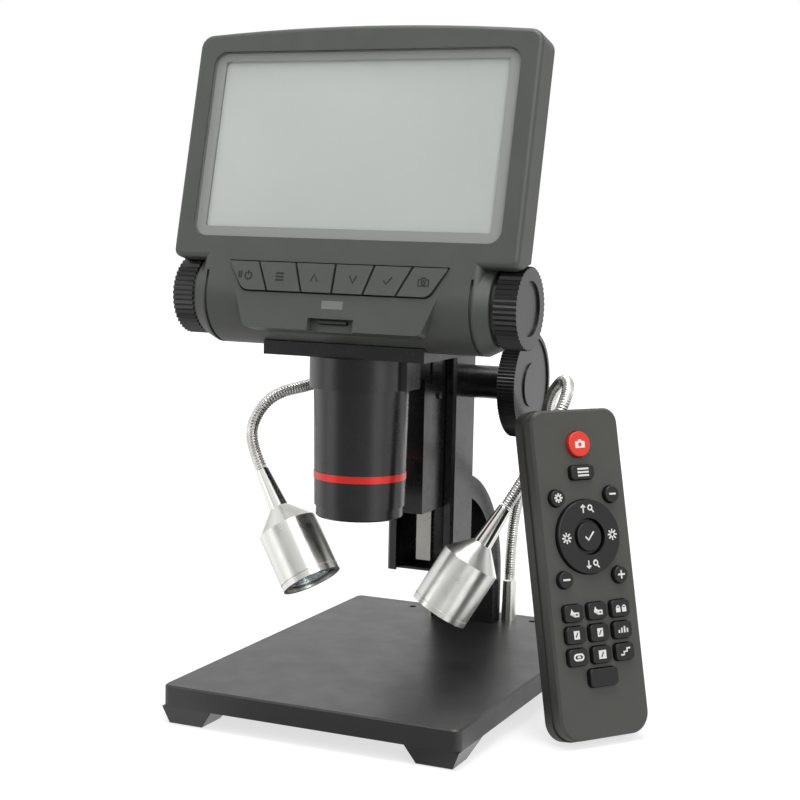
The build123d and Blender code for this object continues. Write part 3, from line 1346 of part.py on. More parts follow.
def lamp_nodes(name, side, route):
    frame = lamp_frame(route)
    return {
        f"{name}_lamp_ferrule": make_ferrule(side),
        f"{name}_gooseneck": make_gooseneck(route),
        f"{name}_lamp_sleeve": make_lamp_sleeve(frame),
        f"{name}_lamp_shell": make_lamp_shell(frame),
        f"{name}_lamp_lens": make_lamp_lens(frame),
        f"{name}_lamp_led": make_lamp_led(frame),
    }


def carriage_nodes():
    return {
        "carriage": make_carriage(),
        "rack": make_rack(),
        "head_bracket": make_head_bracket(),
        "bracket_screws": make_bracket_screws(),
        "tension_block": make_tension_block(),
        "saddle_plate": make_saddle_plate(),
        "lens_collar": make_lens_collar(),
        "lens_barrel": make_lens_barrel(),
        "barrel_ring": make_barrel_ring(),
        "sensor_board": make_sensor_board(),
        "lens_carriage": make_lens_carriage(),
        "objective_lens": make_objective_lens(),
    }


def head_nodes():
    outer = casing_outer()
    cavity = casing_cavity()
    nodes = {
        "front_bezel": HEAD * make_front_bezel(outer, cavity),
        "rear_cover": make_rear_cover(outer, cavity),
        "screen_window": HEAD * make_screen_window(),
        "lcd_panel": HEAD * make_lcd_panel(),
        "main_board": HEAD * make_main_board(),
        "key_board": HEAD * make_key_board(),
        "ir_window": HEAD * make_ir_window(),
        "card_socket": HEAD * make_card_socket(),
        "memory_card": HEAD * make_memory_card(),
        "case_screws": [HEAD * screw for screw in make_case_screws()],
        "focus_shaft": make_focus_shaft(),
        "left_focus_knob": make_focus_knob(-1),
        "right_focus_knob": make_focus_knob(1),
    }
    for i, name in enumerate(KEY_NODES):
        nodes[name] = HEAD * make_key(i)
    return nodes


def remote_nodes():
    frame = remote_frame()
    return {
        "remote_back_shell": frame * make_remote_back_shell(),
        "remote_front_shell": frame * make_remote_front_shell(),
        "remote_board": frame * make_remote_board(),
        "remote_keypad": frame * make_remote_keypad(),
        "remote_snapshot_key": frame * lipped_key(RED_KEY, RED_KEY_R),
        "remote_ring_key": frame * make_remote_ring_key(),
        "remote_centre_key": frame * make_remote_centre_key(),
    }


def print_neck(name, route):
    """Print each arc's radius and compare the tube's volume with its section times its length."""
    tube = make_gooseneck(route)
    expected = math.pi * GOOSENECK_R ** 2 * neck_path(route).length
    print(name, "radii", [round(radius, 1) for radius in corner_radii(route)])
    print(name, "volume", round(tube.volume, 1), "expected", round(expected, 1))


def print_frame(name, frame):
    print(name, "origin", frame.origin, "x", frame.x_dir, "y", frame.y_dir, "z", frame.z_dir)


def export_nodes(nodes):
    os.makedirs("parts", exist_ok=True)
    for name, shape in nodes.items():
        solids = shape if isinstance(shape, list) else [shape]
        node = Compound(children=[solid for item in solids for solid in item.solids()])
        node.label = name
        export_step(node, f"parts/{name}.step")


def main():
    nodes = stand_nodes()
    nodes.update(lamp_nodes("left", -1, LEFT_ROUTE))
    nodes.update(lamp_nodes("right", 1, RIGHT_ROUTE))
    nodes.update(carriage_nodes())
    nodes.update(head_nodes())
    nodes.update(remote_nodes())
    export_nodes(nodes)
    print_neck("left gooseneck", LEFT_ROUTE)
    print_neck("right gooseneck", RIGHT_ROUTE)
    print_frame("head", HEAD)
    print_frame("remote", remote_frame())
    print_frame("left lamp", lamp_frame(LEFT_ROUTE))
    print_frame("right lamp", lamp_frame(RIGHT_ROUTE))


main()
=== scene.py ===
"""Finishes, symbols, goosenecks, lamp fronts and studio for a desktop digital microscope.

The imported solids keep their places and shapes. This script gives each of them the surface of the
real piece, adds the parts that are too fine for the solids, and sets up the floor, the light and
the camera.
"""

import json
import math

import bmesh
import bpy
from bpy.props import FloatProperty, FloatVectorProperty, PointerProperty
from mathutils import Matrix, Vector

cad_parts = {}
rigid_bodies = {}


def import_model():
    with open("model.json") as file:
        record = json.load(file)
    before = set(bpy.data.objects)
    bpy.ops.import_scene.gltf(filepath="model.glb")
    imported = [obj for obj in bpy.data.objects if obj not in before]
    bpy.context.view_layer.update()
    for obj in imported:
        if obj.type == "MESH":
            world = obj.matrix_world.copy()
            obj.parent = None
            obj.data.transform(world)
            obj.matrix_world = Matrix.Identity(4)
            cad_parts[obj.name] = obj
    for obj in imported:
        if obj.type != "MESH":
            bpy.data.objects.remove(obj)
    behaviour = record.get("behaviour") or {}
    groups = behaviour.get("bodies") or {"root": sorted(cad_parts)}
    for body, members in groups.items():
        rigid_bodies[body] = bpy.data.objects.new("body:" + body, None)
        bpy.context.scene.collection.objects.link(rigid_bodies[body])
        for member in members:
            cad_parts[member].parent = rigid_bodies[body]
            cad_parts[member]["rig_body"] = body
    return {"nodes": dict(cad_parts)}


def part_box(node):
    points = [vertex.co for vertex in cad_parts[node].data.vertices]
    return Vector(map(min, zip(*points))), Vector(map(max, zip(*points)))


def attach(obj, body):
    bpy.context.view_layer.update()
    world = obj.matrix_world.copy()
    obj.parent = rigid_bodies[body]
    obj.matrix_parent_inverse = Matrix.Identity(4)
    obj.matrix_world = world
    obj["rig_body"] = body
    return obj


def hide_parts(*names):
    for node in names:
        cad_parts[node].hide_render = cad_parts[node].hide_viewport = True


bl_info = {
    "name": "Digital Microscope Finishes",
    "version": (1, 0, 0),
    "blender": (4, 5, 0),
    "location": "3D View > Sidebar > Microscope",
    "description": "Finishes, symbols, goosenecks, lamp fronts and studio for a digital microscope",
    "category": "Object",
}

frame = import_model()
NODES = frame["nodes"]
MM = 0.001

# ---- Places that the solids' own source also holds, in metres and radians ----
HEAD_TILT = math.radians(13.5)
REMOTE_TURN = math.radians(53.4)
REMOTE_LEAN = math.radians(13.9)
TABLE_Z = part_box("foot_pads")[0].z
# Control points of each gooseneck's middle line, from its foot to its lamp.
LEFT_ROUTE = (
    (-0.0173, 0.1134, 0.0175),
    (-0.0173, 0.1134, 0.0380),
    (-0.0185, 0.1105, 0.0720),
    (-0.0215, 0.0920, 0.1000),
    (-0.0255, 0.0660, 0.1100),
    (-0.0290, 0.0420, 0.1080),
    (-0.0335, 0.0240, 0.1050),
    (-0.0425, 0.0115, 0.1025),
    (-0.0486, 0.0068, 0.0928),
    (-0.0484, 0.0053, 0.0828),
    (-0.0431, 0.0038, 0.0748),
)
RIGHT_ROUTE = (
    (0.0173, 0.1134, 0.0175),
    (0.0173, 0.1134, 0.0300),
    (0.0205, 0.1105, 0.0520),
    (0.0320, 0.0990, 0.0735),
    (0.0455, 0.0770, 0.0825),
    (0.0480, 0.0675, 0.1010),
    (0.0575, 0.0590, 0.1110),
    (0.0650, 0.0435, 0.1080),
    (0.0622, 0.0337, 0.0945),
    (0.0525, 0.0397, 0.0786),
    (0.0444, 0.0354, 0.0636),
)
ROUTES = (("left", LEFT_ROUTE), ("right", RIGHT_ROUTE))
LAMP_LENGTH = 47.5 * MM
LAMP_BORE = 9.7 * MM        # radius
LAMP_CAVITY = 18.0 * MM     # depth
LED_BOARD = 1.6 * MM        # thickness
LENS_BACK = LAMP_LENGTH - 3.7 * MM

# ---- Parts inside a lamp, as radii and as distances from the gooseneck's end, in metres ----
CUP_THROAT = 3.0 * MM
CUP_SPREAD = 5.9 * MM       # from the throat's radius to the mouth's
CUP_WALL = LAMP_BORE - 0.4 * MM
CUP_FLOOR = LAMP_LENGTH - LAMP_CAVITY + LED_BOARD
CUP_FRONT = LENS_BACK - 0.4 * MM
CUP_STEPS = 12
HOLDER_WALL = LAMP_BORE - 0.1 * MM
HOLDER_FRONT = LAMP_LENGTH - 0.9 * MM
HOLDER_BACK = HOLDER_FRONT - 0.25 * MM
HOLDER_PROFILE = (
    (HOLDER_WALL, HOLDER_FRONT),
    (HOLDER_WALL, HOLDER_BACK),
    (8.2 * MM, HOLDER_BACK),
    (8.0 * MM, HOLDER_FRONT),
    (HOLDER_WALL, HOLDER_FRONT),
)

# ---- Printed border and symbols, in mm ----
BORDER_SIZE = (119.3, 68.1)
BORDER_CORNER = 4.8
BORDER_INSET = 0.1          # from the window's back to the ink inside it
PICTURE_SIZE = (111.3, 61.4)
PICTURE_CORNER = 0.6
PICTURE_SHIFT = (-0.3, 0.4)  # from the window's middle to the picture's
SYMBOL_RELIEF = 0.1         # height of a filled symbol over its key
SYMBOL_STROKE = 0.7         # width of a symbol's strokes
RING_STROKE = 0.6           # the same on the remote control's ring key
STROKE_FLATNESS = 0.25      # height of a stroke as a share of its width
RING_HEIGHT = 71.3          # from the remote's lower end to the middle of its ring key
RING_MIDDLE = 9.9           # from there to the middle of the ring's band

# ---- Fineness of the meshes made here ----
ROUTE_STEPS = 48            # points of a gooseneck's middle line for each control point
WIRE_STEPS = 8              # rings of the tube for each turn of the wire
TUBE_SIDES = 20
TURNED_SIDES = 64
SHARP_ANGLE = math.radians(32)   # steeper edges of a turned mesh stay sharp

# ---- Finish ----
REMOTE_BACK_PAINTED_SHADE = 0.4     # painted shade: the back shell, the same plastic as the front, is drawn darker so the remote's side looks shaded

# ---- Studio ----
AMBIENT = 0.3               # what the surroundings give a matt surface
FLOOR_HALF = 6              # half the floor's side, in metres
FLOOR_DROP = 0.0001         # keeps the floor clear of the feet, in metres
FLOOR_GLOW = 0.7            # what the seen floor adds to its lit colour, near the object
FLOOR_FADE = (0.25, 0.8)    # distances over which that grows to full white, in metres
CEILING = 0.85              # what a glossy surface sees overhead
SKYLINE = (0.13, 0.4)       # rise of a direction over which the bands give way to the ceiling
# What a glossy surface sees at its own height and below, as (place, brightness). The place runs
# from 0 behind the object to 1 in front of it.
STUDIO_BANDS = (
    (0.045, 1.0), (0.075, 0.5), (0.2, 0.55), (0.35, 0.9), (0.5, 0.8), (0.62, 0.5),
    (0.7, 1.1), (0.77, 2.0), (0.84, 0.6), (0.91, 0.12), (0.99, 0.08))
STUDIO_FRONT = (0.14, -0.99, 0.0)   # direction that counts as in front of the object
LIGHT_SIZE = 0.8            # side of each square light, in metres
LIGHT_TARGET = (0, 0.03, 0.1)
LIGHT_PLACES = {"key": (0.9, -0.85, 0.8), "fill": (-1.0, -0.7, 0.8), "top": (0.1, -0.1, 1.3)}

# ---- Camera ----
CAMERA_PLACE = (0.26569, -0.55745, 0.17527)
CAMERA_TURN = math.radians(24.18)
CAMERA_DIP = math.radians(6.57)
CAMERA_ROLL = math.radians(1.23)
CAMERA_LENS = 76.9          # in mm, as the sensor's width is
CAMERA_SENSOR = 36.0


# ---- Colours and nodes ----
def linear(hex_colour):
    """Linear colour for a shader from an sRGB hex value."""
    channels = [int(hex_colour[i:i + 2], 16) / 255 for i in (1, 3, 5)]
    lit = [c / 12.92 if c <= 0.04045 else ((c + 0.055) / 1.055) ** 2.4 for c in channels]
    return (*lit, 1.0)


def grey(value):
    return (value, value, value, 1)


def shaded(colour, share):
    """The same colour, this much lighter or darker."""
    return tuple(channel * share for channel in colour[:3]) + (1.0,)


def add_node(tree, kind, inputs=None, **settings):
    """Add a node. Its inputs map a socket's name or number to a value or to another's output."""
    node = tree.nodes.new(kind)
    for name, value in settings.items():
        setattr(node, name, value)
    for key, value in (inputs or {}).items():
        if isinstance(value, bpy.types.NodeSocket):
            tree.links.new(value, node.inputs[key])
        else:
            node.inputs[key].default_value = value
    return node


def calculated(tree, operation, first, second, **settings):
    """Result of a sum or a product."""
    return add_node(
        tree, "ShaderNodeMath", {0: first, 1: second}, operation=operation, **settings).outputs[0]


def along(tree, vector, direction):
    """How far a vector reaches in this direction."""
    return add_node(
        tree, "ShaderNodeVectorMath", {0: vector, 1: direction},
        operation="DOT_PRODUCT").outputs["Value"]


def mapped(tree, value, low, high, **settings):
    """A value brought from the range low to high into 0 to 1."""
    return add_node(
        tree, "ShaderNodeMapRange", {"Value": value, "From Min": low, "From Max": high},
        **settings).outputs[0]


def mixed(tree, share, first, second):
    """Colour between two others. The sockets have numbers, because each data type has its own."""
    return add_node(
        tree, "ShaderNodeMix", {0: share, 6: first, 7: second}, data_type="RGBA").outputs[2]


def add_ramp(tree, factor, stops):
    """Colour that runs through (place, colour) stops while the factor goes from 0 to 1."""
    ramp = add_node(tree, "ShaderNodeValToRGB", {"Fac": factor})
    elements = ramp.color_ramp.elements
    for element, (place, colour) in zip(elements, (stops[0], stops[-1])):
        element.position = place
        element.color = colour
    for place, colour in stops[1:-1]:
        elements.new(place).color = colour
    return ramp.outputs["Color"]


def object_coordinates(tree):
    return add_node(tree, "ShaderNodeTexCoord").outputs["Object"]


def noise(tree, size_mm, inputs, **settings):
    """Noise with patches of this size."""
    return add_node(
        tree, "ShaderNodeTexNoise", {"Scale": 1 / (size_mm * MM), **inputs},
        **settings).outputs["Fac"]


def surface(name, **sockets):
    """New material with one Principled shader whose sockets hold these values."""
    material = bpy.data.materials.new(name)
    material.use_nodes = True
    tree = material.node_tree
    tree.nodes.clear()
    values = {key.replace("_", " "): value for key, value in sockets.items()}
    shader = add_node(tree, "ShaderNodeBsdfPrincipled", values)
    add_node(tree, "ShaderNodeOutputMaterial", {"Surface": shader.outputs[0]})
    return material, tree, shader


def relief(tree, shader, height, height_mm):
    """Raise a shader's surface by up to this much where the height's output is high."""
    bump = add_node(tree, "ShaderNodeBump", {"Height": height, "Distance": height_mm * MM})
    tree.links.new(bump.outputs[0], shader.inputs["Normal"])


def grain(tree, shader, size_mm, height_mm, coordinates=None, detail=3.0):
    """Fine relief of this grain size on a shader."""
    coordinates = coordinates or object_coordinates(tree)
    relief(tree, shader, noise(tree, size_mm, {"Vector": coordinates, "Detail": detail}), height_mm)


def drift(tree, shader, socket, low, high, size_mm):
    """Let a socket of the shader drift between two values over patches of this size."""
    patches = noise(tree, size_mm, {
        "Vector": object_coordinates(tree), "Detail": 4.0, "Roughness": 0.6})
    low, high = (end if isinstance(end, tuple) else grey(end) for end in (low, high))
    # The noise rarely leaves 0.35 to 0.65, so the whole way between the values is used.
    ramp = add_ramp(tree, patches, ((0.35, low), (0.65, high)))
    tree.links.new(ramp, shader.inputs[socket])


# ---- Places and pieces ----
def dress(material, *names):
    """Give CAD nodes this material alone."""
    for name in names:
        slots = NODES[name].data.materials
        slots.clear()
        slots.append(material)


def axes_of(across, up, out):
    return Matrix((across, up, out)).transposed()


def head_axes():
    """Across, up and out of the tilted screen."""
    up = Vector((0, math.sin(HEAD_TILT), math.cos(HEAD_TILT)))
    out = Vector((0, -math.cos(HEAD_TILT), math.sin(HEAD_TILT)))
    return axes_of(Vector((1, 0, 0)), up, out)


def remote_axes():
    """Across, up and out of the leaning remote control."""
    across = Vector((math.cos(REMOTE_TURN), math.sin(REMOTE_TURN), 0))
    ahead = Vector((math.sin(REMOTE_TURN), -math.cos(REMOTE_TURN), 0))
    out = ahead * math.cos(REMOTE_LEAN) + Vector((0, 0, math.sin(REMOTE_LEAN)))
    return axes_of(across, out.cross(across), out)


def reach(node, axis):
    """Lowest and highest place of a CAD node along an axis."""
    places = [vertex.co.dot(axis) for vertex in NODES[node].data.vertices]
    return min(places), max(places)


def face_frame(node, axes):
    """Frame on a CAD node's outermost face, in the middle of the node."""
    across, up, out = axes.col
    origin = out * reach(node, out)[1]
    for axis in (across, up):
        origin += axis * sum(reach(node, axis)) / 2
    return Matrix.Translation(origin) @ axes.to_4x4()


def lamp_frame(route):
    """Frame at a gooseneck's end, with its third axis along the lamp."""
    end, before = Vector(route[-1]), Vector(route[-2])
    turn = (end - before).to_track_quat("Z", "Y")
    return Matrix.Translation(end) @ turn.to_matrix().to_4x4()


def add_piece(name, data, body, material, placed=None):
    """New object from a mesh or curve that rides on a body and has this material."""
    piece = bpy.data.objects.new(name, data)
    bpy.context.scene.collection.objects.link(piece)
    if placed:
        piece.matrix_world = placed
    data.materials.append(material)
    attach(piece, body)
    return piece


def turned_mesh(name, profile):
    """Mesh of revolution about Z from a profile of (radius, height) points."""
    mesh = bpy.data.meshes.new(name)
    shape = bmesh.new()
    points = [shape.verts.new((radius, 0, height)) for radius, height in profile]
    edges = [shape.edges.new(pair) for pair in zip(points, points[1:])]
    bmesh.ops.spin(
        shape, geom=points + edges, axis=(0, 0, 1), cent=(0, 0, 0), angle=2 * math.pi,
        steps=TURNED_SIDES, use_merge=True)
    bmesh.ops.remove_doubles(shape, verts=shape.verts, dist=1e-7)
    bmesh.ops.recalc_face_normals(shape, faces=shape.faces)
    for face in shape.faces:
        face.smooth = True
    shape.to_mesh(mesh)
    shape.free()
    mesh.set_sharp_from_angle(angle=SHARP_ANGLE)
    return mesh


def reflector_profile():
    """Cup that opens as a paraboloid from the LED to the lens, with a straight outside."""
    profile = []
    for i in range(CUP_STEPS + 1):
        share = i / CUP_STEPS
        radius = CUP_THROAT + CUP_SPREAD * math.sqrt(share)
        profile.append((radius, CUP_FLOOR + (CUP_FRONT - CUP_FLOOR) * share))
    return profile + [(CUP_WALL, CUP_FRONT), (CUP_WALL, CUP_FLOOR), profile[0]]


def traced(name, route):
    """Points along the NURBS line that a route's control points guide."""
    line = bpy.data.curves.new(f"{name}_line", "CURVE")
    line.dimensions = "3D"
    line.resolution_u = ROUTE_STEPS
    spline = line.splines.new("NURBS")
    spline.points.add(len(route) - 1)
    for point, place in zip(spline.points, route):
        point.co = (*place, 1)
    spline.order_u = 3
    spline.use_endpoint_u = True
    carrier = bpy.data.objects.new(f"{name}_line", line)
    bpy.context.scene.collection.objects.link(carrier)
    bpy.context.view_layer.update()
    mesh = bpy.data.meshes.new_from_object(carrier)
    places = [vertex.co.copy() for vertex in mesh.vertices]
    bpy.data.objects.remove(carrier)
    bpy.data.meshes.remove(mesh)
    return places


def wound_tube(name, route, radius, pitch, groove):
    """Tube of wound wire along a route."""
    places = traced(name, route)
    travelled = [0.0]
    for before, after in zip(places, places[1:]):
        travelled.append(travelled[-1] + (after - before).length)
    rings = round(travelled[-1] / pitch * WIRE_STEPS)
    shape = bmesh.new()
    loops = []
    index = 0
    side = Vector((1, 0, 0))
    for i in range(rings + 1):
        distance = travelled[-1] * i / rings
        while index < len(places) - 2 and travelled[index + 1] < distance:
            index += 1
        share = (distance - travelled[index]) / (travelled[index + 1] - travelled[index])
        middle = places[index].lerp(places[index + 1], share)
        ahead = (places[index + 1] - places[index]).normalized()
        side = (side - ahead * side.dot(ahead)).normalized()
        other = ahead.cross(side)
        loop = []
        for j in range(TUBE_SIDES):
            angle = 2 * math.pi * j / TUBE_SIDES
            crest = abs(math.sin(math.pi * distance / pitch - angle / 2))
            width = radius - groove * (1 - crest)
            ray = side * math.cos(angle) + other * math.sin(angle)
            loop.append(shape.verts.new(middle + ray * width))
        loops.append(loop)
    for low, high in zip(loops, loops[1:]):
        for j in range(TUBE_SIDES):
            after = (j + 1) % TUBE_SIDES
            shape.faces.new((low[j], low[after], high[after], high[j])).smooth = True
    shape.faces.new(reversed(loops[0]))
    shape.faces.new(loops[-1])
    mesh = bpy.data.meshes.new(name)
    shape.to_mesh(mesh)
    shape.free()
    return mesh


# ---- Lines in mm, and the curves that draw them ----
def arc(radius, start, end, centre=(0, 0), steps=20):
    """Points of an arc between two angles in degrees. A whole turn ends on its first point."""
    points = []
    for i in range(steps + 1):
        angle = math.radians(start + (end - start) * i / steps)
        points.append((
            centre[0] + radius * math.cos(angle), centre[1] + radius * math.sin(angle)))
    if abs(end - start) == 360:
        points[-1] = points[0]
    return points


def rectangle(width, height, centre=(0, 0)):
    x, y = centre
    corners = ((-1, -1), (1, -1), (1, 1), (-1, 1), (-1, -1))
    return [(x + sx * width / 2, y + sy * height / 2) for sx, sy in corners]


def moved(outline, x, y):
    return [(px + x, py + y) for px, py in outline]


def rounded(width, height, radius):
    """Rectangle with round corners."""
    outline = []
    for quarter, (sx, sy) in enumerate(((1, 1), (-1, 1), (-1, -1), (1, -1))):
        centre = (sx * (width / 2 - radius), sy * (height / 2 - radius))
        outline += arc(radius, 90 * quarter, 90 * quarter + 90, centre, steps=8)
    return outline + outline[:1]


def drawing(name, strokes, width, filled=()):
    """Curve that holds strokes, which are open or closed lines, or else filled outlines."""
    curve = bpy.data.curves.new(name, "CURVE")
    if filled:
        curve.dimensions = "2D"
        curve.fill_mode = "BOTH"
        curve.extrude = SYMBOL_RELIEF * MM / 2
    else:
        curve.dimensions = "3D"
        curve.bevel_depth = width * MM / 2
        curve.bevel_resolution = 2
        curve.use_fill_caps = True
    for points in filled or strokes:
        closed = points[0] == points[-1]
        if closed:
            points = points[:-1]
        spline = curve.splines.new("POLY")
        spline.points.add(len(points) - 1)
        for point, (x, y) in zip(spline.points, points):
            point.co = (x * MM, y * MM, 0, 1)
        spline.use_cyclic_u = closed or bool(filled)
    return curve


def add_symbol(name, node, place, strokes, width, material, filled=()):
    """Symbol in a frame on a CAD node's face. It rides on that node's body."""
    placed = place @ Matrix.Diagonal((1, 1, 1 if filled else STROKE_FLATNESS, 1))
    data = drawing(name, strokes, width, filled)
    return add_piece(name, data, NODES[node]["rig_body"], material, placed)


# ---- Finishes ----
def spark_textured_abs(name, colour):
    """ABS moulded in a spark-eroded mould: a soft matt sheen, faintly uneven. The real grain of
    0.15 mm is drawn 0.7 mm coarse, because it is too fine to show."""
    material, tree, shader = surface(name, Roughness=0.46, IOR=1.53)
    grain(tree, shader, size_mm=0.7, height_mm=0.012)
    drift(tree, shader, "Base Color", shaded(colour, 0.94), shaded(colour, 1.06), size_mm=18)
    return material


def polished_abs(name, colour, roughness):
    """ABS from a polished mould: deep colour under a clear gloss that small ripples break up."""
    material, tree, shader = surface(
        name, Base_Color=colour, Roughness=roughness, IOR=1.53, Coat_Weight=0.2,
        Coat_Roughness=0.12)
    grain(tree, shader, size_mm=2.5, height_mm=0.01, detail=1.0)
    return material


def black_anodised_aluminium(name, low, high):
    """Aluminium that was bead-blasted and dyed black in anodising: a dry satin black whose broad
    highlights have soft ends. The real blast marks of 0.08 mm are drawn 0.6 mm coarse, because
    they are too fine to show."""
    material, tree, shader = surface(name, Specular_IOR_Level=0.65)
    grain(tree, shader, size_mm=0.6, height_mm=0.005)
    drift(tree, shader, "Base Color", linear(low), linear(high), size_mm=24)
    drift(tree, shader, "Roughness", 0.22, 0.29, size_mm=9)
    return material


def baked_black_enamel(name):
    """Aluminium plate under a baked satin enamel: flat enough to mirror what stands on it as a
    soft dark blur, with a faint orange peel of 1.5 mm."""
    material, tree, shader = surface(
        name, Base_Color=linear("#1f1f20"), Specular_IOR_Level=0.5, Coat_Weight=0.3,
        Coat_Roughness=0.3)
    grain(tree, shader, size_mm=1.5, height_mm=0.004)
    drift(tree, shader, "Roughness", 0.38, 0.46, size_mm=14)
    return material


def nitrile_rubber(name):
    """Rubber pad pressed in a plain mould: no gloss, a dusty black."""
    material, tree, shader = surface(name, Base_Color=linear("#1d1d1d"), Roughness=0.85)
    grain(tree, shader, size_mm=0.5, height_mm=0.03)
    return material


def turned_aluminium(name, axis, roughness, ring_depth_mm):
    """Aluminium turned on a lathe and left bare: the tool's fine rings draw each highlight out
    into a straight band along its length. The real tool feed of 0.1 mm is drawn 0.45 mm coarse,
    because it is too fine to show."""
    material, tree, shader = surface(
        name, Base_Color=linear("#f1f1ec"), Metallic=1.0, Anisotropic=0.8)
    # A little off the axis, because along it the flat ends have no tangent.
    drawn_out = (axis[0] + 0.03, axis[1] + 0.02, axis[2])
    tangent = add_node(
        tree, "ShaderNodeVectorTransform", {0: drawn_out}, vector_type="VECTOR",
        convert_from="OBJECT", convert_to="WORLD")
    tree.links.new(tangent.outputs[0], shader.inputs["Tangent"])
    height = along(tree, object_coordinates(tree), axis)
    rings = noise(tree, size_mm=0.45, inputs={"W": height, "Detail": 2.0}, noise_dimensions="1D")
    relief(tree, shader, rings, ring_depth_mm)
    drift(tree, shader, "Roughness", roughness * 0.9, roughness * 1.25, size_mm=6)
    return material


def metallised_reflector(name):
    """Plastic cup with aluminium evaporated onto it in a vacuum: a mirror, hazed a little by the
    plastic's own orange peel."""
    material, tree, shader = surface(name, Base_Color=linear("#e4e4e2"), Metallic=1.0)
    grain(tree, shader, size_mm=1.2, height_mm=0.006)
    drift(tree, shader, "Roughness", 0.08, 0.16, size_mm=2)
    return material


def nickel_plated_steel(name):
    """Spring wire, wound and nickel plated: bright, with patches of a warm grey film."""
    material, tree, shader = surface(name, Metallic=1.0)
    grain(tree, shader, size_mm=0.8, height_mm=0.006)
    drift(tree, shader, "Base Color", linear("#c9c8c3"), linear("#f0efec"), size_mm=5)
    drift(tree, shader, "Roughness", 0.18, 0.3, size_mm=3)
    return material


def milled_steel(name):
    """Steel milled on its faces and lightly oiled: grey, with short cross strokes from the
    cutter."""
    material, tree, shader = surface(name, Base_Color=linear("#b9b8b2"), Metallic=1.0)
    stretched = add_node(tree, "ShaderNodeMapping", {
        "Vector": object_coordinates(tree), "Scale": (0.2, 1, 1)})
    grain(tree, shader, size_mm=0.5, height_mm=0.01, coordinates=stretched.outputs[0])
    drift(tree, shader, "Roughness", 0.26, 0.42, size_mm=4)
    return material


def red_anodised_aluminium(name, colour):
    """Aluminium ring, turned, then dyed red in anodising: the metal glows through the dye where
    light meets it."""
    material, tree, shader = surface(
        name, Base_Color=colour, Metallic=0.35, Specular_IOR_Level=0.6, Coat_Weight=0.3)
    grain(tree, shader, size_mm=0.8, height_mm=0.004)
    drift(tree, shader, "Roughness", 0.28, 0.36, size_mm=6)
    return material


def solder_masked_board(name):
    """Glass-epoxy board under green solder mask: a glossy green with the copper's layout faintly
    raised."""
    material, tree, shader = surface(name, Roughness=0.3, IOR=1.5)
    tracks = add_node(tree, "ShaderNodeTexVoronoi", {
        "Vector": object_coordinates(tree), "Scale": 1 / (2.5 * MM)},
        distance="MANHATTAN", feature="F1")
    relief(tree, shader, tracks.outputs["Distance"], height_mm=0.03)
    drift(tree, shader, "Base Color", linear("#0f4a2a"), linear("#1c6a3c"), size_mm=3)
    return material


def optical_glass(name):
    """Polished and coated lens glass: clear, with a sharp reflection and a faint cool tint."""
    material, tree, shader = surface(
        name, Base_Color=linear("#dfe8ec"), Roughness=0.02, IOR=1.52, Transmission_Weight=1.0,
        Coat_Weight=0.2)
    grain(tree, shader, size_mm=30, height_mm=0.01, detail=0.0)
    return material


def filmed_acrylic(name):
    """Clear acrylic with its protective film left on: a thin grey haze over what is behind it,
    and a soft gloss that the film's slack makes a little uneven."""
    material, tree, shader = surface(
        name, Base_Color=linear("#d4d8d4"), IOR=1.49, Alpha=0.12, Coat_Weight=0.3,
        Coat_Roughness=0.1)
    grain(tree, shader, size_mm=40, height_mm=0.01, detail=0.0)
    drift(tree, shader, "Roughness", 0.14, 0.24, size_mm=40)
    return material


def blank_display(name):
    """Display that shows no picture, behind a matt polariser laminated onto it: a pale grey green
    without gloss, in faint patches, and lighter toward its upper left corner by a painted light
    falloff."""
    material, tree, shader = surface(name, Roughness=0.5, IOR=1.49)
    place = object_coordinates(tree)
    # Painted light: a slope that lightens the colour toward the upper left, where the light falls
    # on the screen.
    painted_light_slope = along(tree, place, (-5.0, 0.0, 3.0))
    cloud = noise(tree, size_mm=60, inputs={"Vector": place, "Detail": 1.0})
    patches_and_painted_light = mapped(tree, calculated(tree, "ADD", cloud, painted_light_slope), low=0.7, high=1.5)
    ramp = add_ramp(tree, patches_and_painted_light, ((0.0, linear("#c6ccc7")), (1.0, linear("#d8ddd9"))))
    tree.links.new(ramp, shader.inputs["Base Color"])
    grain(tree, shader, size_mm=0.5, height_mm=0.001)
    return material


def smoked_polycarbonate(name):
    """Infrared window moulded in smoked plastic and polished: a grey chip with a low gloss, paler
    than the casing round it."""
    material, tree, shader = surface(
        name, Base_Color=linear("#7a7d7a"), Roughness=0.3, IOR=1.58)
    grain(tree, shader, size_mm=1.2, height_mm=0.01)
    return material


def silicone_key(name):
    """Silicone rubber, moulded and then sprayed with a thin lacquer: black, with a low soft sheen
    that wavers."""
    material, tree, shader = surface(
        name, Base_Color=linear("#161616"), Roughness=0.4, IOR=1.43, Coat_Weight=0.15,
        Coat_Roughness=0.2)
    grain(tree, shader, size_mm=1.6, height_mm=0.02, detail=1.0)
    return material


def printed_ink(name, colour):
    """Ink printed by a soft pad or through a screen: flat, opaque and slightly dry."""
    material, tree, shader = surface(name, Base_Color=colour, Roughness=0.6, IOR=1.5)
    grain(tree, shader, size_mm=0.5, height_mm=0.01)
    return material


def led_phosphor(name):
    """Phosphor cast in resin over the LED's chip: matt yellow, in paler and deeper patches."""
    material, tree, shader = surface(name, Roughness=0.5, IOR=1.5)
    grain(tree, shader, size_mm=0.6, height_mm=0.02)
    drift(tree, shader, "Base Color", linear("#d8b44a"), linear("#efd98a"), size_mm=1.5)
    return material


# ---- Settings ----
def colour_property(name, description, hex_colour):
    return FloatVectorProperty(
        name=name, description=description, size=4, min=0, max=1, subtype="COLOR",
        default=linear(hex_colour))


def length_property(name, description, millimetres):
    return FloatProperty(
        name=name, description=description, default=millimetres * MM, min=0,
        subtype="DISTANCE", unit="LENGTH")


def power_property(name, description, watts):
    return FloatProperty(
        name=name, description=description, default=watts, min=0, unit="POWER")


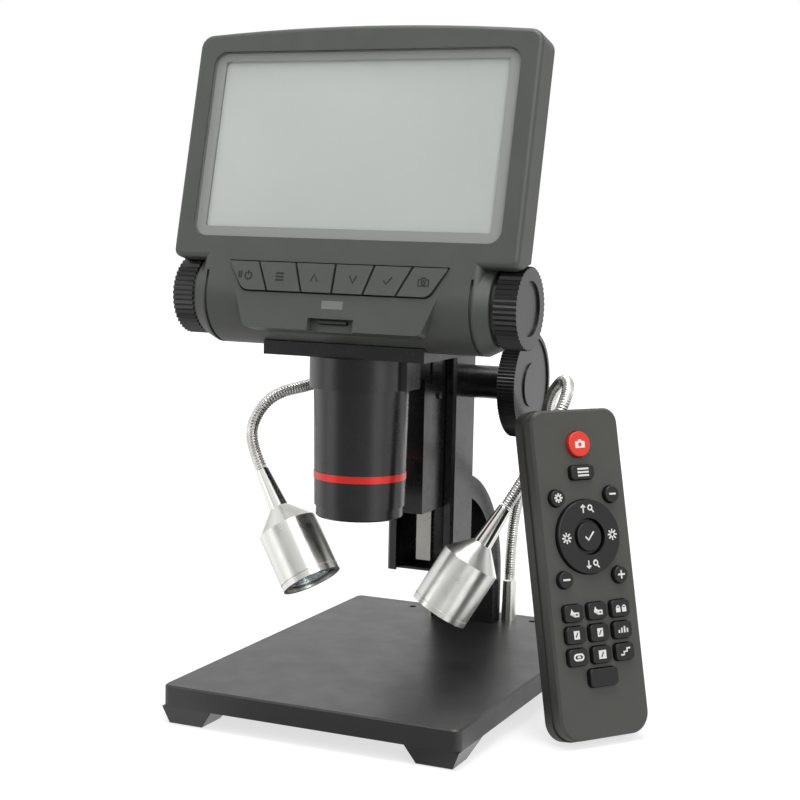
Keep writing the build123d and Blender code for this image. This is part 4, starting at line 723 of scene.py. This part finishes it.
class FinishSettings(bpy.types.PropertyGroup):
    """Colours of the finishes"""
    casing: colour_property("Casing", "Colour of the screen casing's moulded plastic", "#4c4f4b")
    keys: colour_property("Keys", "Colour of the keys under the screen", "#505350")
    knobs: colour_property("Knobs", "Colour of the knurled knobs and the height wheel", "#131313")
    remote: colour_property("Remote", "Colour of the remote control's front shell", "#474743")
    ring: colour_property("Ring", "Colour of the ring on the lens barrel", "#f0241b")
    red_key: colour_property("Red key", "Colour of the remote control's red key", "#f43b27")
    dark_ink: colour_property("Dark ink", "Colour of the symbols under the screen", "#1d1f1c")
    pale_ink: colour_property("Pale ink", "Colour of the remote control's symbols", "#f4f4f0")


class NeckSettings(bpy.types.PropertyGroup):
    """Measures of the goosenecks' wound wire"""
    radius: length_property("Radius", "Outer radius of a gooseneck", 2.35)
    pitch: length_property("Pitch", "Distance from one turn of the wire to the next", 1.1)
    groove: length_property("Groove", "Depth of the groove between two turns", 0.35)


class StudioSettings(bpy.types.PropertyGroup):
    """Strength of the lights and colour of the floor"""
    key_power: power_property("Key light", "Power of the soft light at the right", 6.5)
    fill_power: power_property("Fill light", "Power of the soft light at the left", 1.5)
    top_power: power_property("Top light", "Power of the soft light overhead", 12.5)
    floor: colour_property("Floor", "Colour of the floor, which holds the shadow", "#a6a6a6")


# ---- Symbols, each as strokes or filled outlines of (x, y) in mm about its own middle ----
def power_mark():
    """Open ring with a bar in its gap."""
    return [arc(1.3, 125, 415, (0.9, 0)), [(0.9, 0.3), (0.9, 1.8)]]


def level_mark():
    """Short upright bars beside the power mark."""
    return [[(x, -1.0), (x, 1.5)] for x in (-2.9, -2.0)]


def menu_mark(half=1.6):
    """Three lines, each this long to either side."""
    return [[(-half, y), (half, y)] for y in (-1.2, 0, 1.2)]


def chevron(turn):
    """Chevron that points up where turn is 1, and down where it is -1."""
    return [[(-1.3, -1.3 * turn), (0, 1.3 * turn), (1.3, -1.3 * turn)]]


def tick_mark(size=1.0):
    return [[(-1.5 * size, 0), (-0.5 * size, -1.1 * size), (1.6 * size, 1.3 * size)]]


def dash_mark(half):
    return [[(-half, 0), (half, 0)]]


def camera_mark(size=1.0):
    """Camera body with a round hole for its lens."""
    body = [
        (-1.9, -1.3), (1.9, -1.3), (1.9, 0.9), (0.8, 0.9), (0.5, 1.5), (-0.5, 1.5), (-0.8, 0.9),
        (-1.9, 0.9), (-1.9, -1.3)]
    body = [(x * size, y * size) for x, y in body]
    return [body, arc(0.65 * size, 0, 360, (0, -0.2 * size), steps=16)]


def star_mark(radius):
    """Eight short rays round an empty middle."""
    rays = []
    for i in range(8):
        angle = 2 * math.pi * i / 8
        x, y = math.cos(angle) * radius, math.sin(angle) * radius
        rays.append([(x * share, y * share) for share in (0.3, 1.0)])
    return rays


def arrow_mark(turn, x):
    """Arrow that points up where turn is 1, and down where it is -1."""
    tip = 1.4 * turn
    barb = tip - 0.9 * turn
    return [[(x, -tip), (x, tip)], [(x - 0.9, barb), (x, tip), (x + 0.9, barb)]]


def magnifier_mark(x):
    return [arc(0.85, 0, 360, (x, 0.35), steps=16), [(x + 0.6, -0.3), (x + 1.4, -1.4)]]


def page_mark(width=2.4):
    """Page with a slanting slot cut out of it."""
    slot = [(-0.7, -0.75), (-0.25, -0.95), (0.7, 0.75), (0.25, 0.95), (-0.7, -0.75)]
    return [rectangle(width, 3.0), slot]


def slope_mark():
    """Two peaks over a small frame."""
    peaks = [(-1.9, -0.4), (-1.1, 1.6), (-0.5, 0.5), (-0.1, 0.5), (-0.1, -0.4), (-1.9, -0.4)]
    return [peaks, rectangle(2.0, 1.7, (0.9, -0.6)), rectangle(0.8, 0.6, (0.9, -0.6))]


def lock_marks():
    """Two padlocks side by side."""
    marks = []
    for x in (-1.3, 1.3):
        marks.append(rectangle(1.9, 1.6, (x, -0.6)))
        shackle = arc(0.85, 0, 180, steps=8) + arc(0.45, 180, 0, steps=8)
        marks.append(moved(shackle + shackle[:1], x, 0.25))
    return marks


def bars_mark():
    return [[(x, -1.1), (x, top)] for x, top in ((-1.8, 0.0), (-0.6, 0.7), (0.6, 1.2), (1.8, 0.4))]


def link_mark():
    """Long closed loop with a bar in it."""
    outline = arc(1.0, 90, 270, (-0.9, 0), steps=8) + arc(1.0, -90, 90, (0.9, 0), steps=8)
    return [outline + outline[:1], *dash_mark(0.7)]


def steps_mark():
    return [[(-2.1, -1.1), (-0.7, -1.1), (-0.7, 0.0), (0.7, 0.0), (0.7, 1.1), (2.1, 1.1)]]


# ---- Operators: one for each group of like pieces ----
class MICROSCOPE_OT_stand(bpy.types.Operator):
    """Finish the base plate, its feet, the arm, the column and their screws"""
    bl_idname = "microscope.stand"
    bl_label = "Stand"

    def execute(self, context):
        dress(baked_black_enamel("Baked Black Enamel"), "base_plate")
        dress(polished_abs("Polished Foot ABS", linear("#1b1b1b"), roughness=0.3), "base_feet")
        dress(nitrile_rubber("Nitrile Rubber"), "foot_pads")
        dress(black_anodised_aluminium("Column Black Anodised Aluminium", "#0f0f10", "#151516"),
              "column", "column_caps", "support_arm", "pinion_housing")
        dress(milled_steel("Milled Steel"), "stand_screws")
        return {"FINISHED"}


class MICROSCOPE_OT_height_drive(bpy.types.Operator):
    """Finish the rack, its pinion and the knurled height wheel"""
    bl_idname = "microscope.height_drive"
    bl_label = "Height Drive"

    def execute(self, context):
        knobs = context.scene.microscope_finishes.knobs
        dress(milled_steel("Rack Milled Steel"), "rack", "pinion_shaft")
        dress(polished_abs("Polished Wheel ABS", knobs[:], roughness=0.32), "height_wheel")
        return {"FINISHED"}


class MICROSCOPE_OT_head(bpy.types.Operator):
    """Finish the slide, the bracket, the saddle and the lens barrel with its red ring"""
    bl_idname = "microscope.head"
    bl_label = "Head"

    def execute(self, context):
        ring = context.scene.microscope_finishes.ring
        dress(black_anodised_aluminium("Head Black Anodised Aluminium", "#0a0a0b", "#0f0f10"),
              "carriage", "head_bracket", "tension_block", "saddle_plate", "lens_collar",
              "lens_barrel", "lens_carriage")
        dress(red_anodised_aluminium("Red Anodised Aluminium", ring[:]), "barrel_ring")
        dress(optical_glass("Coated Lens Glass"), "objective_lens")
        dress(milled_steel("Screw Steel"), "bracket_screws", "case_screws")
        return {"FINISHED"}


class MICROSCOPE_OT_casing(bpy.types.Operator):
    """Finish the screen casing, the window, the display, the boards and the card"""
    bl_idname = "microscope.casing"
    bl_label = "Screen Casing"

    def execute(self, context):
        casing = context.scene.microscope_finishes.casing
        dress(spark_textured_abs("Spark Textured ABS", casing[:]), "front_bezel", "rear_cover")
        dress(filmed_acrylic("Filmed Acrylic"), "screen_window")
        dress(blank_display("Blank Display"), "lcd_panel")
        self.print_border()
        dress(solder_masked_board("Solder Masked Board"),
              "main_board", "key_board", "sensor_board", "remote_board")
        dress(smoked_polycarbonate("Smoked Polycarbonate"), "ir_window")
        dress(milled_steel("Socket Steel"), "card_socket")
        dress(polished_abs("Card ABS", linear("#161616"), roughness=0.35), "memory_card")
        return {"FINISHED"}

    def print_border(self):
        """Grey border printed on the window's back, round the picture."""
        axes = head_axes()
        back, front = reach("screen_window", axes.col[2])
        sunk = Matrix.Translation((0, 0, back - front + BORDER_INSET * MM))
        edge = rounded(*BORDER_SIZE, BORDER_CORNER)
        opening = moved(rounded(*PICTURE_SIZE, PICTURE_CORNER), *PICTURE_SHIFT)
        border = drawing("window_border", (), 0, (edge, opening))
        ink = printed_ink("Screen Printed Border Ink", linear("#959895"))
        add_piece("window_border", border, "head", ink,
                  face_frame("screen_window", axes) @ sunk)


class MICROSCOPE_OT_head_keys(bpy.types.Operator):
    """Finish the six keys under the screen and print their symbols"""
    bl_idname = "microscope.head_keys"
    bl_label = "Screen Keys"

    def execute(self, context):
        finishes = context.scene.microscope_finishes
        plastic = spark_textured_abs("Key ABS", finishes.keys[:])
        ink = printed_ink("Dark Pad Printed Ink", finishes.dark_ink[:])
        marks = {
            "key_power": power_mark() + level_mark(),
            "key_menu": menu_mark(),
            "key_up": chevron(1),
            "key_down": chevron(-1),
            "key_confirm": tick_mark(),
            "key_snapshot": camera_mark(),
        }
        for node, strokes in marks.items():
            dress(plastic, node)
            add_symbol(f"{node}_symbol", node, face_frame(node, head_axes()), strokes,
                       SYMBOL_STROKE, ink)
        return {"FINISHED"}


class MICROSCOPE_OT_focus(bpy.types.Operator):
    """Finish the two knurled focus knobs and their shaft"""
    bl_idname = "microscope.focus"
    bl_label = "Focus Knobs"

    def execute(self, context):
        knobs = context.scene.microscope_finishes.knobs
        dress(polished_abs("Polished Knob ABS", knobs[:], roughness=0.34),
              "left_focus_knob", "right_focus_knob")
        dress(milled_steel("Shaft Steel"), "focus_shaft")
        return {"FINISHED"}


class MICROSCOPE_OT_goosenecks(bpy.types.Operator):
    """Replace both plain goosenecks with tubes of wound wire, and finish their ferrules"""
    bl_idname = "microscope.goosenecks"
    bl_label = "Goosenecks"

    def execute(self, context):
        necks = context.scene.microscope_necks
        wire = nickel_plated_steel("Nickel Plated Steel")
        upright = turned_aluminium(
            "Ferrule Turned Aluminium", (0, 0, 1), roughness=0.2, ring_depth_mm=0.012)
        for side, route in ROUTES:
            mesh = wound_tube(
                f"{side}_wound_neck", route, necks.radius, necks.pitch, necks.groove)
            piece = add_piece(mesh.name, mesh, f"{side}_neck", wire)
            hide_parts(f"{side}_gooseneck")
            dress(upright, f"{side}_lamp_ferrule")
        return {"FINISHED"}


class MICROSCOPE_OT_lamps(bpy.types.Operator):
    """Finish both turned lamps and add the reflector cup and holder ring inside each"""
    bl_idname = "microscope.lamps"
    bl_label = "Lamps"

    def execute(self, context):
        glass = optical_glass("Lamp Lens Glass")
        phosphor = led_phosphor("LED Phosphor")
        mirror = metallised_reflector("Metallised Reflector")
        holder = polished_abs("Lens Holder ABS", linear("#181818"), roughness=0.4)
        for side, route in ROUTES:
            placed = lamp_frame(route)
            axis = placed.to_3x3().col[2]
            body_metal = turned_aluminium(
                f"{side.title()} Lamp Turned Aluminium", axis, roughness=0.3, ring_depth_mm=0.035)
            sleeve_metal = turned_aluminium(
                f"{side.title()} Sleeve Polished Aluminium", axis, roughness=0.14,
                ring_depth_mm=0.01)
            dress(body_metal, f"{side}_lamp_shell")
            dress(sleeve_metal, f"{side}_lamp_sleeve")
            dress(glass, f"{side}_lamp_lens")
            dress(phosphor, f"{side}_lamp_led")
            inside = (
                (f"{side}_reflector", reflector_profile(), mirror),
                (f"{side}_lens_holder", HOLDER_PROFILE, holder),
            )
            for name, profile, material in inside:
                add_piece(name, turned_mesh(name, profile), f"{side}_lamp",
                          material, placed)
        return {"FINISHED"}


class MICROSCOPE_OT_remote(bpy.types.Operator):
    """Finish the remote control and print the symbols on its keys"""
    bl_idname = "microscope.remote"
    bl_label = "Remote Control"

    def execute(self, context):
        finishes = context.scene.microscope_finishes
        # Painted shade: the back shell gets the front's colour made darker, which gives the
        # remote's side its shade.
        front, back = finishes.remote[:], shaded(finishes.remote[:], REMOTE_BACK_PAINTED_SHADE)
        dress(spark_textured_abs("Remote ABS", front), "remote_front_shell")
        dress(spark_textured_abs("Remote Back ABS", back), "remote_back_shell")
        dress(silicone_key("Lacquered Silicone"),
              "remote_keypad", "remote_ring_key", "remote_centre_key")
        dress(polished_abs("Red Key ABS", finishes.red_key[:], roughness=0.35),
              "remote_snapshot_key")
        ink = printed_ink("Pale Pad Printed Ink", finishes.pale_ink[:])

        axes = remote_axes()
        across, up, out = axes.col
        middle = sum(reach("remote_front_shell", across)) / 2
        bottom = across * middle + up * reach("remote_front_shell", up)[0]

        def print_on(name, node, x, y, strokes=(), filled=(), width=SYMBOL_STROKE):
            """Print a symbol this far right and up from the middle of the remote's lower end."""
            place = bottom + across * x * MM + up * y * MM + out * reach(node, out)[1]
            add_symbol(f"{name}_symbol", node, Matrix.Translation(place) @ axes.to_4x4(),
                       strokes, width, ink, filled)

        print_on("camera", "remote_snapshot_key", 0, 104.6, filled=camera_mark(1.1))
        stroked = {
            "menu": (0, 94.4, menu_mark(2.4)),
            "sun": (-11.8, 85.8, star_mark(1.7)),
            "dash": (11.8, 85.8, dash_mark(1.4)),
            "less": (-11.9, 56.7, dash_mark(1.5)),
            "more": (11.9, 56.7, dash_mark(1.5) + [[(0, -1.5), (0, 1.5)]]),
            "bars": (10.1, 37.1, bars_mark()),
            "link": (-10.1, 29.3, link_mark()),
            "steps": (10.1, 29.3, steps_mark()),
        }
        for name, (x, y, strokes) in stroked.items():
            print_on(name, "remote_keypad", x, y, strokes)
        solid = {
            "slope_one": (-10.1, 44.8, slope_mark()),
            "slope_two": (0, 44.8, slope_mark()),
            "locks": (10.1, 44.8, lock_marks()),
            "page_one": (-10.1, 37.1, page_mark()),
            "page_two": (0, 37.1, page_mark()),
            "square": (0, 29.3, page_mark(3.2)),
        }
        for name, (x, y, outlines) in solid.items():
            print_on(name, "remote_keypad", x, y, filled=outlines)
        ring = {
            "nearer": (0, RING_MIDDLE, arrow_mark(1, -1.6) + magnifier_mark(1.4)),
            "farther": (0, -RING_MIDDLE, arrow_mark(-1, -1.6) + magnifier_mark(1.4)),
            "left_star": (-RING_MIDDLE, 0, star_mark(2.0)),
            "right_star": (RING_MIDDLE, 0, star_mark(2.0)),
        }
        for name, (x, y, strokes) in ring.items():
            print_on(name, "remote_ring_key", x, RING_HEIGHT + y, strokes,
                     width=RING_STROKE)
        print_on("tick", "remote_centre_key", 0, RING_HEIGHT, tick_mark(1.2))
        return {"FINISHED"}


class MICROSCOPE_OT_stage(bpy.types.Operator):
    """Set up the pale floor, the soft light and the camera"""
    bl_idname = "microscope.stage"
    bl_label = "Floor, Light and Camera"

    def execute(self, context):
        studio = context.scene.microscope_studio
        self.add_floor(studio.floor[:])
        self.add_world(context.scene)
        for name, place in LIGHT_PLACES.items():
            light = bpy.data.lights.new(f"{name}_light", "AREA")
            light.size = LIGHT_SIZE
            light.energy = getattr(studio, f"{name}_power")
            lamp = bpy.data.objects.new(light.name, light)
            lamp.location = place
            aim = Vector(LIGHT_TARGET) - Vector(place)
            lamp.rotation_euler = aim.to_track_quat("-Z", "Y").to_euler()
            context.scene.collection.objects.link(lamp)
        self.add_camera(context.scene)
        context.scene.view_settings.view_transform = "Standard"
        return {"FINISHED"}

    def add_floor(self, colour):
        """Matt sweep whose lit part shows white, and whose shadow stays soft and pale."""
        mesh = bpy.data.meshes.new("floor")
        shape = bmesh.new()
        bmesh.ops.create_grid(shape, x_segments=2, y_segments=2, size=FLOOR_HALF)
        shape.to_mesh(mesh)
        shape.free()
        floor = bpy.data.objects.new("floor", mesh)
        floor.location = (0, 0, TABLE_Z - FLOOR_DROP)
        bpy.context.scene.collection.objects.link(floor)
        material, tree, shader = surface(
            "Matt Floor Paper", Base_Color=colour, Roughness=0.9, Emission_Color=grey(1))
        grain(tree, shader, size_mm=2, height_mm=0.02)
        away = add_node(
            tree, "ShaderNodeVectorMath", {0: object_coordinates(tree)}, operation="LENGTH")
        glow = add_node(tree, "ShaderNodeMapRange", {
            "Value": away.outputs["Value"], "From Min": FLOOR_FADE[0], "From Max": FLOOR_FADE[1],
            "To Min": FLOOR_GLOW, "To Max": 1.0})
        strength = self.seen_strength(tree, glow.outputs[0])
        tree.links.new(strength, shader.inputs["Emission Strength"])
        mesh.materials.append(material)

    def seen_strength(self, tree, strength):
        """This strength to the camera and through glass, a band of it to a mirror, else none."""
        path = add_node(tree, "ShaderNodeLightPath").outputs
        heading = add_node(
            tree, "ShaderNodeVectorMath", {0: object_coordinates(tree)}, operation="NORMALIZE")
        bands = self.bands(tree, heading.outputs[0])
        mirrored = calculated(tree, "MULTIPLY", path["Is Glossy Ray"], bands)
        total = calculated(tree, "ADD", path["Is Camera Ray"], mirrored)
        total = calculated(tree, "ADD", total, path["Is Transmission Ray"], use_clamp=True)
        return calculated(tree, "MULTIPLY", total, strength)

    def bands(self, tree, heading):
        """What a glossy surface sees in this direction: tall pale bands, and dark in front."""
        facing = mapped(tree, along(tree, heading, STUDIO_FRONT), low=-1.0, high=1.0)
        return add_ramp(tree, facing, [(place, grey(value)) for place, value in STUDIO_BANDS])

    def add_world(self, scene):
        """White to the camera, dimmer as a source of light, and banded where metal mirrors it."""
        world = bpy.data.worlds.new("Studio")
        scene.world = world
        world.use_nodes = True
        tree = world.node_tree
        tree.nodes.clear()
        path = add_node(tree, "ShaderNodeLightPath").outputs
        heading = add_node(tree, "ShaderNodeTexCoord").outputs["Generated"]
        rise = add_node(tree, "ShaderNodeSeparateXYZ", {0: heading}).outputs["Z"]
        overhead = mapped(tree, rise, *SKYLINE, interpolation_type="SMOOTHSTEP")
        mirrored = mixed(tree, overhead, self.bands(tree, heading), grey(CEILING))
        unseen = mixed(tree, path["Is Glossy Ray"], grey(AMBIENT), mirrored)
        seen = calculated(
            tree, "ADD", path["Is Camera Ray"], path["Is Transmission Ray"], use_clamp=True)
        shown = mixed(tree, seen, unseen, grey(1))
        background = add_node(tree, "ShaderNodeBackground", {"Color": shown})
        add_node(tree, "ShaderNodeOutputWorld", {"Surface": background.outputs[0]})

    def add_camera(self, scene):
        """Camera that looks along the turn and dip above, rolled about that line."""
        ahead = Vector((
            -math.sin(CAMERA_TURN) * math.cos(CAMERA_DIP),
            math.cos(CAMERA_TURN) * math.cos(CAMERA_DIP),
            -math.sin(CAMERA_DIP)))
        level = ahead.cross(Vector((0, 0, 1))).normalized()
        upward = level.cross(ahead)
        right = level * math.cos(CAMERA_ROLL) + upward * math.sin(CAMERA_ROLL)
        turn = axes_of(right, right.cross(ahead), -ahead).to_4x4()
        data = bpy.data.cameras.new("camera")
        data.lens = CAMERA_LENS
        data.sensor_width = CAMERA_SENSOR
        camera = bpy.data.objects.new("camera", data)
        camera.matrix_world = Matrix.Translation(CAMERA_PLACE) @ turn
        scene.collection.objects.link(camera)
        scene.camera = camera


OPERATORS = (
    MICROSCOPE_OT_stand,
    MICROSCOPE_OT_height_drive,
    MICROSCOPE_OT_head,
    MICROSCOPE_OT_casing,
    MICROSCOPE_OT_head_keys,
    MICROSCOPE_OT_focus,
    MICROSCOPE_OT_goosenecks,
    MICROSCOPE_OT_lamps,
    MICROSCOPE_OT_remote,
    MICROSCOPE_OT_stage,
)


class MICROSCOPE_PT_sidebar(bpy.types.Panel):
    """Settings and operators in the sidebar of the 3D view"""
    bl_idname = "MICROSCOPE_PT_sidebar"
    bl_label = "Microscope"
    bl_space_type = "VIEW_3D"
    bl_region_type = "UI"
    bl_category = "Microscope"

    def draw(self, context):
        scene = context.scene
        for settings in (
                scene.microscope_finishes, scene.microscope_necks, scene.microscope_studio):
            column = self.layout.column(align=True)
            for name in settings.__annotations__:
                column.prop(settings, name)
        column = self.layout.column(align=True)
        for operator in OPERATORS:
            column.operator(operator.bl_idname)


CLASSES = (FinishSettings, NeckSettings, StudioSettings, *OPERATORS, MICROSCOPE_PT_sidebar)


def register():
    for item in CLASSES:
        bpy.utils.register_class(item)
    bpy.types.Scene.microscope_finishes = PointerProperty(type=FinishSettings)
    bpy.types.Scene.microscope_necks = PointerProperty(type=NeckSettings)
    bpy.types.Scene.microscope_studio = PointerProperty(type=StudioSettings)


def unregister():
    del bpy.types.Scene.microscope_studio
    del bpy.types.Scene.microscope_necks
    del bpy.types.Scene.microscope_finishes
    for item in reversed(CLASSES):
        bpy.utils.unregister_class(item)


def main():
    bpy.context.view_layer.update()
    register()
    for name in ("stand", "height_drive", "head", "casing", "head_keys", "focus", "goosenecks",
                 "lamps", "remote", "stage"):
        getattr(bpy.ops.microscope, name)()


if __name__ == "__main__":
    main()
